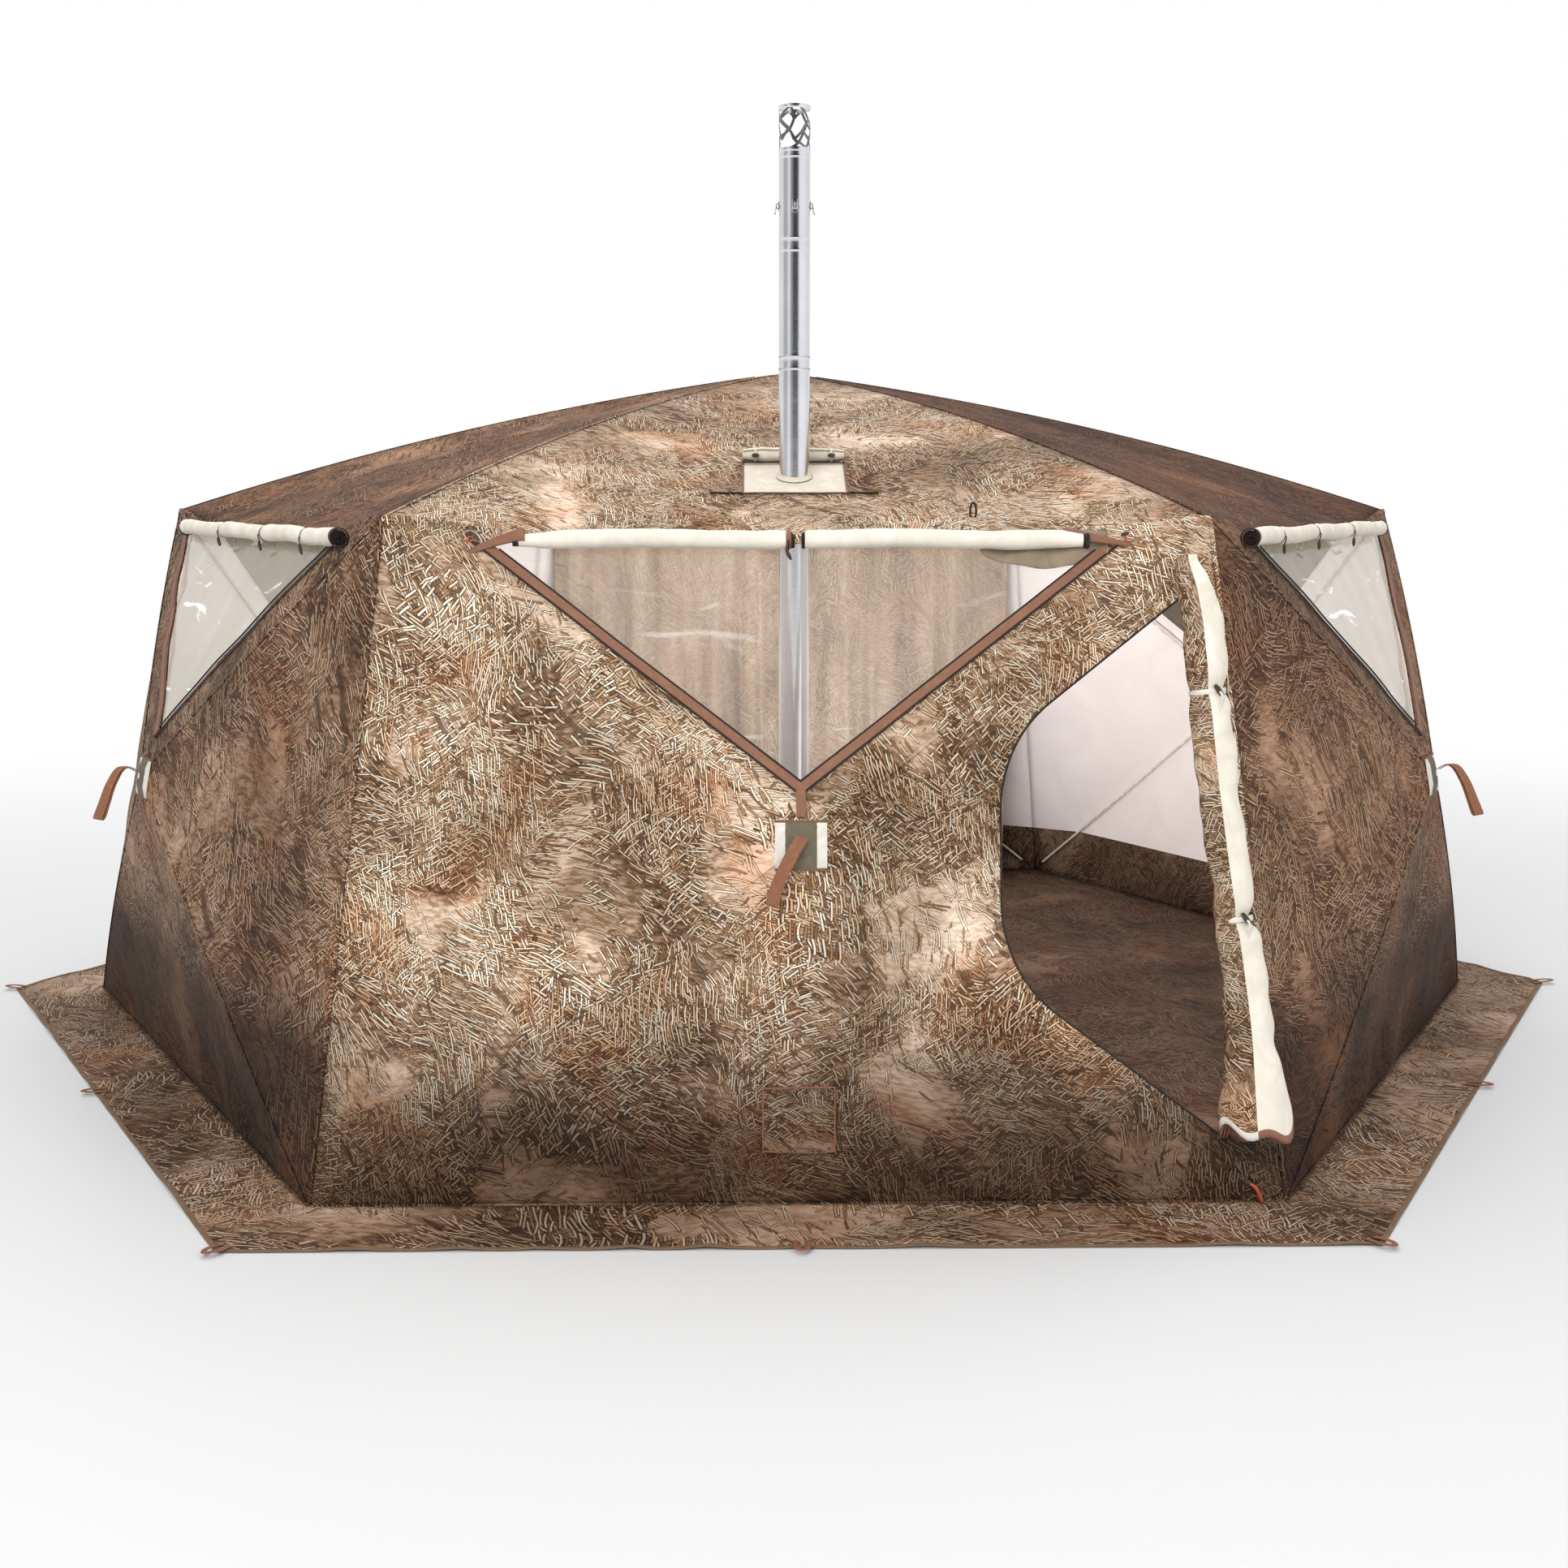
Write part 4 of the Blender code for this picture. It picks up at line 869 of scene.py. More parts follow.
def flat_area(points):
    """Area of a flat outline in space: half the length of the sum of its corners' cross products."""
    return np.linalg.norm(np.cross(points, np.roll(points, -1, 0)).sum(0)) / 2


def window_sheet(inset, rows, cols, seed, height, relief=0.005):
    """A sheet over the window: its shape, its flat width and height, and its area."""
    left, right, bottom = window_corners(inset)
    up = np.linspace(0, 1, rows)[:, None, None]
    flat = line(left, right, cols)[None] * (1 - up) + bottom * up
    shape = grid(lifted(flat, "top", seed, height, relief), pattern(flat, "top"))
    size = (np.linalg.norm(right - left), np.linalg.norm(bottom - (left + right) / 2))
    return shape, size, flat_area(np.array([left, right, bottom]))


def build_panels():
    """All cloth of the walls, and the window films."""
    holes = {(wall, "top"): window_corners() for wall in WINDOW_WALLS}
    holes["front", "right"] = on_panel(door_outline(), "right")
    for steps, wall in enumerate(WALLS):
        for panel in ("top", "right", "bottom", "left"):
            hole = holes.get((wall, panel))
            shape = whole_panel(panel, steps) if hole is None else holed_panel(panel, hole, steps)
            item = make(f"wall_{wall}_{panel}_panel", [(shape, CAMOUFLAGE[steps])], steps)
            lined(item, LINING)
            if panel == "top":
                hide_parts("wall_" + wall)
            hang(item)
        if wall in WINDOW_WALLS:
            shape, size, area = window_sheet(-0.004, 24, 48, steps + 20, -0.003, 0.004)
            finish = FRONT_FILM if wall == "front" else SIDE_FILM
            item = make(f"window_film_{wall}", [(faced(shape, panel_frame("top")[3]), finish)], steps)
            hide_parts("window_pane_" + wall)
            hang(item)


def jack_corners():
    """Corners of the stove jack's patch on the flat roof panel."""
    x, y = JACK_HALF_WIDTH, JACK_HALF_HEIGHT
    return np.array([[-x, -y], [x, -y], [x, y], [-x, y]]) + [0, JACK_MIDDLE]


def build_roof():
    """Six roof panels, the front one with the stove jack in it."""
    hole = on_roof(jack_corners())
    for steps, wall in enumerate(WALLS):
        shape = holed_panel("roof", hole, steps) if wall == "front" else whole_panel("roof", steps)
        item = make(f"roof_{wall}_panel", [(shape, ROOF_CAMOUFLAGE[steps])], steps)
        lined(item, LINING)
        if wall == "front":
            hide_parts("roof")
        hang(item)


build_panels()
build_roof()

# Trims, covers and ties


def fine_path(points, count, panel, seed, height):
    """Evenly stepped straight path over a panel, put on its sprung surface."""
    flat = np.concatenate([line(a, b, count) for a, b in zip(points, points[1:])])
    return lifted(flat, panel, seed, height)


def band(path, panel, width, thickness, closed=False):
    """Flat tape along a path on a panel."""
    return strip(path, panel_frame(panel)[3], rounded_bar(width, thickness), closed)


def slab(top, uv, down):
    """Closed thin solid under a grid of points."""
    points = np.concatenate([top, (top - down)[:, ::-1]], 1)
    places = np.concatenate([uv, uv[:, ::-1], uv[:, :1]], 1)
    ends = [np.broadcast_to(points[k].mean(0), points[:1].shape) for k in (0, -1)]
    points = np.concatenate([ends[0], points, ends[1]])
    return faced(grid(points, np.concatenate([places[:1], places, places[-1:]]), False, True))


def rolled(path, side, out, radii, turns, pitch, start=0.0, columns=26, seed=0, relief=0.002):
    """Cloth wound on a spiral and carried along a path: reach = radius - pitch * turns wound + creases.

    The creases depend on the place round and along the roll, so that its layers stay apart.
    """
    path = np.asarray(path, float)
    side, out = (np.broadcast_to(np.asarray(v, float), path.shape)[:, None] for v in (side, out))
    angle = np.linspace(0, turns * 2 * math.pi, round(turns * columns) + 1)
    ray = side * np.sin(angle + start)[None, :, None] - out * np.cos(angle + start)[None, :, None]
    radii = np.broadcast_to(radii, len(path))[:, None]
    nominal = path[:, None] + ray * radii[..., None]
    reach = radii - pitch * angle / (2 * math.pi) + waves(nominal, seed, 0.16, 0.05) * relief
    points = path[:, None] + ray * reach[..., None]
    length = np.concatenate([[0], np.cumsum(np.linalg.norm(np.diff(path, axis=0), axis=1))])
    arc = np.concatenate([[0], np.cumsum(np.linalg.norm(np.diff(points, axis=1), axis=2).mean(0))])
    shape = grid(points, np.stack(np.meshgrid(length, arc, indexing="ij"), -1))
    return shape, (length[-1], arc[-1])


def thickened(item, thickness):
    """Gives a sheet its thickness, half on each side."""
    solid = item.modifiers.new("thickness", "SOLIDIFY")
    solid.thickness = thickness
    solid.offset = 0
    return item


def hoop(centre, axis, out, radius, width, thickness, stretch=1.0, points=20):
    """Tape round a roll: a closed ring about an axis, drawn out along one way by a stretch."""
    angle = np.arange(points) * 2 * math.pi / points
    side = np.cross(out, axis)
    ray = side * np.sin(angle)[:, None] + out * np.cos(angle)[:, None] * stretch
    return carried(centre + ray * radius, axis, unit(ray), rounded_bar(width, thickness), True)


def barrel(centre, axis, length, radius):
    """Toggle: a round bar that swells in its middle."""
    t = np.linspace(-1, 1, 9)
    axis = unit(axis)
    side = unit(np.cross(axis, [0.3, 0.5, 0.8]))
    sizes = np.sqrt(1.05 - t**2 * 0.8)
    path = centre + axis * t[:, None] * length / 2
    return carried(path, side, np.cross(axis, side), tapered(sizes, round_bar(radius, 12)))


def cord(points, radius, count=14):
    """Thin round cord through points."""
    return strip(curve(points, count), [0.2, -0.9, 0.3], round_bar(radius, 6))


def window_trims(steps, wall):
    """Brown tapes and black zips along the window's lower sides, and on the front one a tape to the hub."""
    left, right, bottom = window_corners(-0.013)
    taped = {"front": (left, right), "front_right": (right,), "front_left": (left,)}[wall]
    width = 0.020 if wall == "front" else 0.032
    parts = []
    for end in taped:
        path = fine_path([end + (bottom - end) * 0.055, bottom], 70, "top", steps, 0.005)
        parts.append((band(path, "top", width, 0.003), TAPE))
    for inset in (-0.0245, -0.001):
        *ends, point = window_corners(inset)
        for end in ends:
            path = fine_path([end + (point - end) * 0.05, point], 70, "top", steps, 0.0045)
            parts.append((band(path, "top", 0.0045, 0.004), ZIP))
    if wall == "front":
        path = fine_path([bottom, on_panel([0.0, 0.872], "top")], 14, "top", steps, 0.0065)
        parts.append((band(path, "top", 0.021, 0.003), TAPE))
    item = make(f"window_trim_{wall}", parts, steps)
    hang(item)


def eave_line(drop):
    """Point of the top panel that far under the eave's middle, and the panel's normal."""
    _, _, rise, normal = panel_frame("top")
    return HEAD + unit(rise) * drop, normal


def window_roll(name, steps, low, high, taper, node, ties, seed, thin):
    """Rolled window cover under the eave, with its ties, toggles and dark ends."""
    line_point, normal = eave_line(0.068)
    radius = 0.0215
    x = np.linspace(low, high, 90)
    end_share = np.minimum(smooth(x, low, low + taper[0]), smooth(-x, -high, -high + taper[1]))
    pinch = 1 - sum(0.08 * np.exp(-((x - tie) / 0.014) ** 2) for tie in ties)
    radii = radius * (thin + (1 - thin) * end_share) * pinch
    sag = 0.0022 * np.sin((x - low) * 13 + seed) * end_share
    centre = line_point + normal * (radius + 0.006) - normal * (radius - radii)[:, None]
    path = centre + ACROSS * x[:, None] - UP * sag[:, None]
    down = np.cross(normal, ACROSS)
    shape, flat = rolled(path, down, normal, radii, 3.2, 0.005, 2.2, 26, seed, 0.0014)
    run = shape[2][..., 0].mean(1)
    at_end = (run < 0.012) | (run > run.max() - 0.012)
    item = make(name, [(picked(shape, ~at_end), CREAM), (picked(shape, at_end), ZIP)], steps, 60)
    thickened(item, 0.0022)
    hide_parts(node)
    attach(item, "shell")
    parts = []
    for tie in ties:
        centre = path[abs(x - tie).argmin()]
        parts.append((hoop(centre, ACROSS, normal, radius * 0.9, 0.012, 0.0022, 1.05), TAPE))
        hang_from = centre + normal * radius * 0.95 - UP * 0.006
        lace = [hang_from, hang_from + normal * 0.006 - UP * 0.012, hang_from - UP * 0.028]
        parts.append((cord(lace, 0.0016), ZIP))
        toggle_at = hang_from - UP * 0.036 + normal * 0.002
        parts.append((barrel(toggle_at, [0.5, 0.1, -1], 0.026, 0.0045), TOGGLE_PLASTIC))
    ringed = ((-1, -1),) if name == "front_cover_left" else ((0, 1), (-1, -1))
    for end, way in ringed:
        rim = path[end] + ACROSS * way * 0.004
        parts.append((hoop(rim, ACROSS, normal, radii[end] + 0.0022, 0.008, 0.0022), ZIP))
    extra = make(name + "_ties", parts, steps)
    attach(extra, "shell")


def window_extras():
    """Mesh corner under the front eave, zip pulls with toggles, tape tails and a loop on the roof."""
    base, normal = eave_line(0)
    x = np.linspace(0.41, 0.70, 40)
    drop = 0.084 + 0.040 * np.sin(math.pi * (x - 0.41) / 0.29) ** 0.7
    rows = np.linspace(0, 1, 8)[:, None]
    down = unit(panel_frame("top")[2])
    depth = 0.036 + (drop - 0.03) * rows
    top = base + ACROSS * x[None, :, None] + down * depth[..., None]
    top = top + normal * (0.008 + 0.004 * np.sin(x * 60 + rows * 3))[..., None]
    uv = np.stack(np.broadcast_arrays(x[None], rows * 0.05), -1)
    flap = make("mesh_corner", [(faced(grid(top, uv), normal), GREY_BROWN)], 0)
    thickened(flap, 0.001)
    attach(flap, "shell")
    left, right, _ = window_corners(-0.013)
    parts = []
    for corner_point, way in ((left, 1), (right, -1)):
        start = corner_point + normal * 0.016 - UP * 0.006
        swing = ACROSS * way * -0.004
        pull = [start, start + swing - UP * 0.016, start + swing * 2 - UP * 0.034]
        parts.append((cord(pull, 0.0028), RED_PLASTIC))
        parts.append((barrel(start, [1, 0, 0.3], 0.018, 0.005), TOGGLE_PLASTIC))
    for start, end, droop in ((0.60, 0.75, 0.012), (-0.612, -0.775, 0.046)):
        tail_x = np.linspace(start, end, 30)
        share = (tail_x - start) / (end - start)
        away = normal * (0.036 - 0.024 * share)[:, None]
        tail_path = eave_line(0.060)[0] + ACROSS * tail_x[:, None] + away - UP * (droop * share**1.5)[:, None]
        parts.append((strip(tail_path, normal, tapered(1 - 0.72 * share, rounded_bar(0.030, 0.012))), TAPE))
    loop_at = lifted(on_roof([0.412, 0.12]), "roof", 0, 0.012)
    turn = np.arange(20) * 2 * math.pi / 20
    ring = loop_at + ACROSS * (0.007 * np.cos(turn))[:, None] + UP * (0.020 * np.sin(turn))[:, None]
    parts.append((strip(ring, -WALL_OUT, round_bar(0.0026, 8), True), ZIP))
    pulls = make("front_zip_pulls", parts, 0)
    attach(pulls, "shell")


def seams(steps, wall):
    """Bindings of one wall and roof panel: ridges, roof seam, eave, corner post and foot."""
    starts = {"top": TOP_LEFT, "right": TOP_RIGHT, "bottom": BOTTOM_RIGHT, "left": BOTTOM_LEFT}
    for panel, start in starts.items():
        ridge = line(start + (TIP - start) * 0.012, start + (TIP - start) * 0.955, 50)
        path = lifted(ridge, panel, steps, 0.001)
        shape = printed(strip(path, WALL_OUT, rounded_bar(0.008, 0.0016)), panel)
        item = make(f"ridge_binding_{wall}_{panel}", [(shape, CAMOUFLAGE[steps])], steps)
        hang(item)
    path = lifted(line(TOP_LEFT, TOP_LEFT + (APEX - TOP_LEFT) * 0.95, 50), "roof", steps, 0.001)
    shape = printed(strip(path, UP, rounded_bar(0.010, 0.002)), "roof")
    item = make(f"roof_binding_{wall}", [(shape, ROOF_CAMOUFLAGE[steps])], steps)
    hang(item)
    eave = lifted(line(TOP_LEFT, TOP_RIGHT, 60), "roof", steps) + np.array([0, -0.003, -0.002])
    eave = eave + UP * (0.0015 * np.sin(np.linspace(0, 40, 60)))[:, None]
    post_out = unit(turned(WALL_OUT, 1) + WALL_OUT)
    post = line(BOTTOM_RIGHT, TOP_RIGHT, 60) + post_out * 0.001
    foot = line(BOTTOM_LEFT, BOTTOM_RIGHT, 80) + np.array([0, -0.004, 0.006])
    parts = []
    for path, out, width, height, panel in (
        (eave, [0, -1, 0.4], 0.014, 0.003, "top"),
        (post, post_out, 0.012, 0.003, "right"),
        (foot, [0, -1, 0.3], 0.012, 0.004, "bottom"),
    ):
        parts.append((printed(strip(path, out, rounded_bar(width, height)), panel), CAMOUFLAGE[steps]))
    item = make(f"edge_binding_{wall}", parts, steps)
    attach(item, "shell")


def door_edge():
    """Zip line and camouflage binding round the door hole."""
    outline = on_panel(door_outline(), "right")
    middle = outline.mean(0)
    parts = []
    for grow, width, finish, height in ((0.0015, 0.0045, ZIP, 0.004), (0.010, 0.013, CAMOUFLAGE[0], 0.002)):
        away = unit(outline - middle)
        path = lifted(outline + away * grow, "right", 0, height)
        parts.append((printed(band(path, "right", width, 0.003, True), "right"), finish))
    item = make("door_binding", parts, 0)
    hang(item)


def door_roll():
    """Rolled door panel: gathered at its head, drawn in by two ties, and flared and open at its foot."""
    _, _, rise, normal = panel_frame("right")
    edge = unit(TOP_RIGHT - BOTTOM_RIGHT)
    inward = unit(rise)
    height = np.linalg.norm(TOP_RIGHT - BOTTOM_RIGHT)
    s = np.linspace(0.185, height - 0.085, 150)
    share = (s - s[0]) / (s[-1] - s[0])
    ties = (0.36, 0.76)
    radius = 0.034 + 0.009 * (1 - share) + 0.002 * np.sin(share * 9 + 1)
    radius = radius + 0.020 * (1 - smooth(share, 0, 0.2)) - 0.016 * smooth(share, 0.93, 1)
    radius = radius * (1 - sum(0.22 * np.exp(-((share - tie) / 0.018) ** 2) for tie in ties))
    sway = 0.005 * np.sin(share * 7.5) - 0.020 * (1 - smooth(share, 0, 0.2)) - 0.012 * smooth(share, 0.85, 1)
    path = BOTTOM_RIGHT + edge * s[:, None] + inward * (0.07 - sway)[:, None]
    path = path + normal * (radius + 0.005)[:, None]
    item_parts = []
    spans = (
        (0.0, 0.19, DOOR_CAMOUFLAGE),
        (0.19, 0.212, SEAM_CLOTH),
        (0.212, 0.236, DOOR_CAMOUFLAGE),
        (0.236, math.inf, CREAM),
    )
    turns, pitch, columns = 3.6, 0.0055, 40
    shape, flat = rolled(path, inward * 1.35, normal * 0.9, radius, turns, pitch, 1.6, columns, 5, 0.004)
    points, quads, places = shape
    points = points.reshape(len(path), -1, 3)
    round_about = np.linspace(0, turns * 2 * math.pi, points.shape[1])
    ruffle = 0.020 * np.sin(round_about * 2 + 1) + 0.012 * np.sin(round_about * 5)
    points = points + np.multiply.outer(np.outer(1 - smooth(share, 0, 0.1), ruffle), edge)
    shape = (points.reshape(-1, 3), quads, places)
    spiral = places[..., 1].mean(1)
    turn_length = 0.235
    at_hem = places[..., 0].mean(1) < 0.014
    for low, high, finish in spans:
        chosen = (spiral >= low * turn_length) & (spiral < high * turn_length)
        item_parts.append((picked(shape, chosen & ~at_hem), finish))
        item_parts.append((picked(shape, chosen & at_hem), TAPE if finish is CREAM else WHITE_TAPE))
    item = make("rolled_door", item_parts, 0, 60)
    thickened(item, 0.0022)
    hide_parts("door_roll")
    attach(item, "shell")
    parts = []
    for tie in ties:
        k = abs(share - tie).argmin()
        centre = path[k]
        tie_radius = radius[k] * 0.9 + 0.003
        parts.append((hoop(centre, edge, inward, tie_radius, 0.012, 0.0024, 1.42), WHITE_TAPE))
        knot = centre - inward * 0.012 + normal * (radius[k] + 0.004)
        parts.append((barrel(knot, edge + inward * 0.6, 0.032, 0.006), TOGGLE_PLASTIC))
        tail_end = knot + normal * 0.006 - edge * 0.05 + inward * 0.01
        tail = [knot, knot + normal * 0.012 - edge * 0.015, tail_end]
        parts.append((cord(tail, 0.003), WHITE_TAPE))
    extra = make("door_ties", parts, 0)
    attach(extra, "shell")
    pull = lifted(on_panel(np.array([[1.0, 0.055], [1.035, 0.03]]), "right"), "right", 0, 0.012)
    down = [pull[0], (pull[0] + pull[1]) / 2 + WALL_OUT * 0.008, pull[1] - UP * 0.02]
    toggle = barrel(pull[0], [1, 0, -0.5], 0.02, 0.006)
    pulls = make("door_zip_pull", [(cord(down, 0.0035), RED_PLASTIC), (toggle, TOGGLE_PLASTIC)], 0)
    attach(pulls, "shell")


def vent_flap():
    """Square camouflage flap near the foot of the front wall, with a binding round it."""
    u = np.linspace(-0.082, 0.077, 22)
    v = np.linspace(0.136, 0.281, 20)
    flat = np.stack(np.meshgrid(u, v), -1)
    puff = 0.006 * smooth(flat[..., 1], 0.281, 0.14) * np.sin(math.pi * (flat[..., 0] + 0.082) / 0.159)
    top = overlay(flat, "bottom", 0, 0.008) + WALL_OUT * puff[..., None]
    # The flap keeps its height on the print, so that the painted foot shade darkens it as it does the wall
    # round it.
    uv = flat + [6.1, 0.02]
    corners = np.array([[-0.082, 0.136], [0.077, 0.136], [0.077, 0.281], [-0.082, 0.281]])
    edge = overlay(looped(corners, 16), "bottom", 0, 0.0085)
    parts = [
        (slab(top, uv, panel_frame("bottom")[3] * 0.003), CAMOUFLAGE[0]),
        (band(edge, "bottom", 0.004, 0.005, True), WEBBING),
    ]
    item = make("vent_flap", parts, 0)
    hang(item)


def overlay(flat, panel, seed, height=0.004):
    """Flat wall points put on a panel's sprung surface, a little outside the cloth."""
    return lifted(on_panel(flat, panel), panel, seed, height)


def inner_windows():
    """Closed window covers seen from inside the two rear side walls."""
    for steps in (2, 4):
        shape, size, area = window_sheet(-0.04, 16, 30, steps, -0.007)
        shape = faced(shape, -panel_frame("top")[3])
        item = make(f"window_inside_{WALLS[steps]}", [(shape, PATCH_CLOTH)], steps)
        thickened(item, 0.001)
        hang(item)


# Frame of poles and hubs


def arms(panels, corners, tip, axis, shortfall):
    """Pin, outward way, pole direction and pole length of every arm of a hub."""
    found = []
    for k, point in enumerate(corners):
        first, second = panels[k]
        target = point - (first + second) * POLE_INSET / (1 + first @ second)
        span = target - tip
        way = unit(span - axis * (span @ axis))
        pin = tip - axis * PIN_DEPTH + way * PIN_RING
        found.append((pin, way, unit(target - pin), np.linalg.norm(target - pin) - shortfall))
    return found


def pole(name, arm, axis, bow, steps):
    """A glass fibre rod with a set bow, and the steel ends that turn with the hinge."""
    pin, way, direction, length = arm
    cross_way = np.cross(axis, way)
    out = np.cross(direction, cross_way)
    t = np.linspace(0.02, length - 0.012, 40)
    share = t / length
    path = pin + direction * t[:, None] + axis * (4 * share * (1 - share) * bow)[:, None]
    rod_item = make(f"{name}_rod", [(strip(path, axis, round_bar(0.0045, 12)), POLE_FIBRE)], steps)
    hang(rod_item)
    places = np.array([0.008, 0.010, 0.012, 0.03, 0.032, 0.034, 0.066, 0.068])
    socket = pin + direction * places[:, None]
    socket_profile = tapered([0.6, 1.0, 1.15, 1.15, 0.96, 1.1, 1.1, 0.9], round_bar(0.0056, 16))
    tongue = pin + direction * np.array([-0.0055, -0.003, 0.008, 0.012])[:, None]
    tongue_profile = tapered([[0.5, 0.9], [1, 1], [1, 1], [0.7, 0.7]], rounded_bar(0.0076, 0.0086, 12, 6))
    tip_places = length - np.array([0.03, 0.028, 0.006, 0.002, 0.0])
    tip_profile = tapered([0.9, 1, 1, 0.85, 0.5], round_bar(0.0064, 16))
    parts = [
        (carried(socket, cross_way, out, socket_profile), STEEL),
        (carried(tongue, cross_way, out, tongue_profile), STEEL),
        (carried(pin + direction * tip_places[:, None], cross_way, out, tip_profile), HUB_PLASTIC),
    ]
    item = make(f"{name}_ends", parts, steps)
    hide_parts(name)
    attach(item, name)


def casting(found, tip, axis, post_top):
    """Moulded star with two ears and a steel pin for every pole, a boss, and a post through the cloth."""
    parts = []
    level = tip - axis * CASTING_DEPTH
    first = found[0][1]
    across = np.cross(axis, first)

    def boss(profile, count=32):
        angle = np.arange(count) * 2 * math.pi / count
        ring = first * np.cos(angle)[:, None] + across * np.sin(angle)[:, None]
        profile = np.asarray(profile, float)
        points = level + ring[:, None] * profile[None, :, :1] + axis * profile[None, :, 1:]
        steps = (np.arange(count + 1) / 99, np.arange(len(profile) + 1) / 99)
        uv = np.stack(np.meshgrid(*steps, indexing="ij"), -1)
        return faced(grid(points, uv, True, True))

    core = 0.0005
    cap = post_top + CASTING_DEPTH
    plate = [(core, -0.003), (0.017, -0.003), (0.018, -0.002), (0.018, -0.0005), (0.017, 0), (core, 0)]
    stub = [(core, -0.011), (0.008, -0.011), (0.009, -0.01), (0.009, -0.0032), (core, -0.0032)]
    post = [(core, 0), (0.0035, 0), (0.0035, cap - 0.003), (core, cap - 0.003)]
    button = [(core, cap - 0.003), (0.0085, cap - 0.003), (0.008, cap - 0.001), (0.005, cap), (core, cap)]
    for profile, finish in ((plate, HUB_PLASTIC), (stub, HUB_PLASTIC), (post, STEEL), (button, STEEL)):
        parts.append((boss(profile), finish))
    for _, way, _, _ in found:
        cross_way = np.cross(axis, way)
        web = level - axis * 0.0015 + way * np.array([0.012, 0.02, 0.034, 0.036])[:, None]
        web_profile = tapered([[1, 1], [1, 1], [1, 1], [0.9, 0.6]], rounded_bar(0.0166, 0.003, 12, 6))
        parts.append((carried(web, cross_way, axis, web_profile), HUB_PLASTIC))
        for edge in (-1, 1):
            foot = level + way * PIN_RING + cross_way * edge * 0.0063
            drop = foot - axis * np.array([0.002, 0.005, 0.0095, 0.013, 0.0148])[:, None]
            ear_sizes = [[1, 1], [1, 1], [0.95, 1], [0.8, 1], [0.4, 0.9]]
            ear_profile = tapered(ear_sizes, rounded_bar(0.012, 0.0036, 12, 6))
            parts.append((carried(drop, way, cross_way, ear_profile), HUB_PLASTIC))
        pin_steps = np.array([-0.0092, -0.0086, 0.0086, 0.0092])[:, None]
        pin_line = tip - axis * PIN_DEPTH + way * PIN_RING + cross_way * pin_steps
        parts.append((carried(pin_line, way, axis, tapered([0.7, 1, 1, 0.7], round_bar(0.0025, 12))), STEEL))
    return parts


def tent_top(flat):
    """Flat points round the wall's hub put on the four panels' own slopes."""
    points = FOOT + flat[..., :1] * ACROSS + flat[..., 1:] * WALL_UP
    rises = []
    for panel in ("top", "right", "bottom", "left"):
        a, _, _, normal = panel_frame(panel)
        rises.append((a - points) @ normal / (WALL_OUT @ normal))
    return points + np.multiply.outer(np.min(rises, 0), WALL_OUT)


# How far a wall's pull strap twists outwards at its foot: straight on the front, and 1.2 on the others
TWIST = {"front": 0.0, "front_left": -1.2}


def wall_hub(steps, wall):
    """Wall hub with its cover patch and its pull strap."""
    corners = [TOP_RIGHT, TOP_LEFT, BOTTOM_LEFT, BOTTOM_RIGHT]
    names = ["top", "left", "bottom", "right"]
    normals = [panel_frame(name)[3] for name in names]
    found = arms([(normals[k], normals[k - 1]) for k in range(4)], corners, TIP, WALL_OUT, 0.04)
    parts = casting(found, TIP, WALL_OUT, 0.006)
    tip_height = (TIP - FOOT) @ WALL_UP
    low_edge, high_edge = tip_height - 0.055, tip_height + 0.048
    for low, high, finish in (
        (-0.056, -0.034, WHITE_TAPE),
        (-0.034, 0.034, PATCH_CLOTH),
        (0.034, 0.056, WHITE_TAPE),
    ):
        flat = np.stack(np.meshgrid(np.linspace(low, high, 12), np.linspace(low_edge, high_edge, 24)), -1)
        parts.append((slab(tent_top(flat) + WALL_OUT * 0.0065, flat, WALL_OUT * 0.002), finish))
    for height in (low_edge, high_edge):
        path = tent_top(line([-0.056, height], [0.056, height], 24)) + WALL_OUT * 0.0065
        parts.append((strip(path, WALL_OUT, rounded_bar(0.006, 0.003)), SEAM_CLOTH))
    if wall == "front":
        route = [
            (0.002, 0.014, 0.009),
            (-0.014, -0.012, 0.013),
            (-0.034, -0.05, 0.014),
            (-0.052, -0.09, 0.012),
            (-0.062, -0.124, 0.009),
        ]
    else:
        route = [
            (0, 0.012, 0.009),
            (0.0, 0.02, 0.03),
            (0.002, 0.012, 0.052),
            (0.006, -0.03, 0.070),
            (0.01, -0.075, 0.080),
            (0.012, -0.115, 0.088),
        ]
    down = [TIP + ACROSS * x + WALL_UP * y + WALL_OUT * z for x, y, z in route]
    last = down[-1]
    back = [last + WALL_OUT * 0.008 - WALL_UP * 0.006]
    back += [point + WALL_OUT * 0.0065 - WALL_UP * 0.001 for point in down[-2::-1]]
    path = curve(np.array(down + back), 60)
    hanging = 1 - abs(np.linspace(-1, 1, len(path)))[:, None]
    lean = 0.35 if wall == "front" else 0.0
    width = unit(ACROSS - WALL_UP * lean + WALL_OUT * TWIST.get(wall, 1.2) * hanging)
    facing = unit(np.cross(unit(np.gradient(path, axis=0)), width))
    parts.append((carried(path, width, facing, rounded_bar(0.028, 0.0022)), WEBBING))
    item = make(f"{wall}_hub_assembly", parts, steps)
    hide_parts("hub_" + wall)
    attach(item, "hub_" + wall)
    poles = zip(WALL_POLES, found, ("top", "top", "bottom", "bottom"))
    for kind, arm, panel in poles:
        pole(f"pole_{wall}_{kind}", arm, WALL_OUT, 0.012, steps)


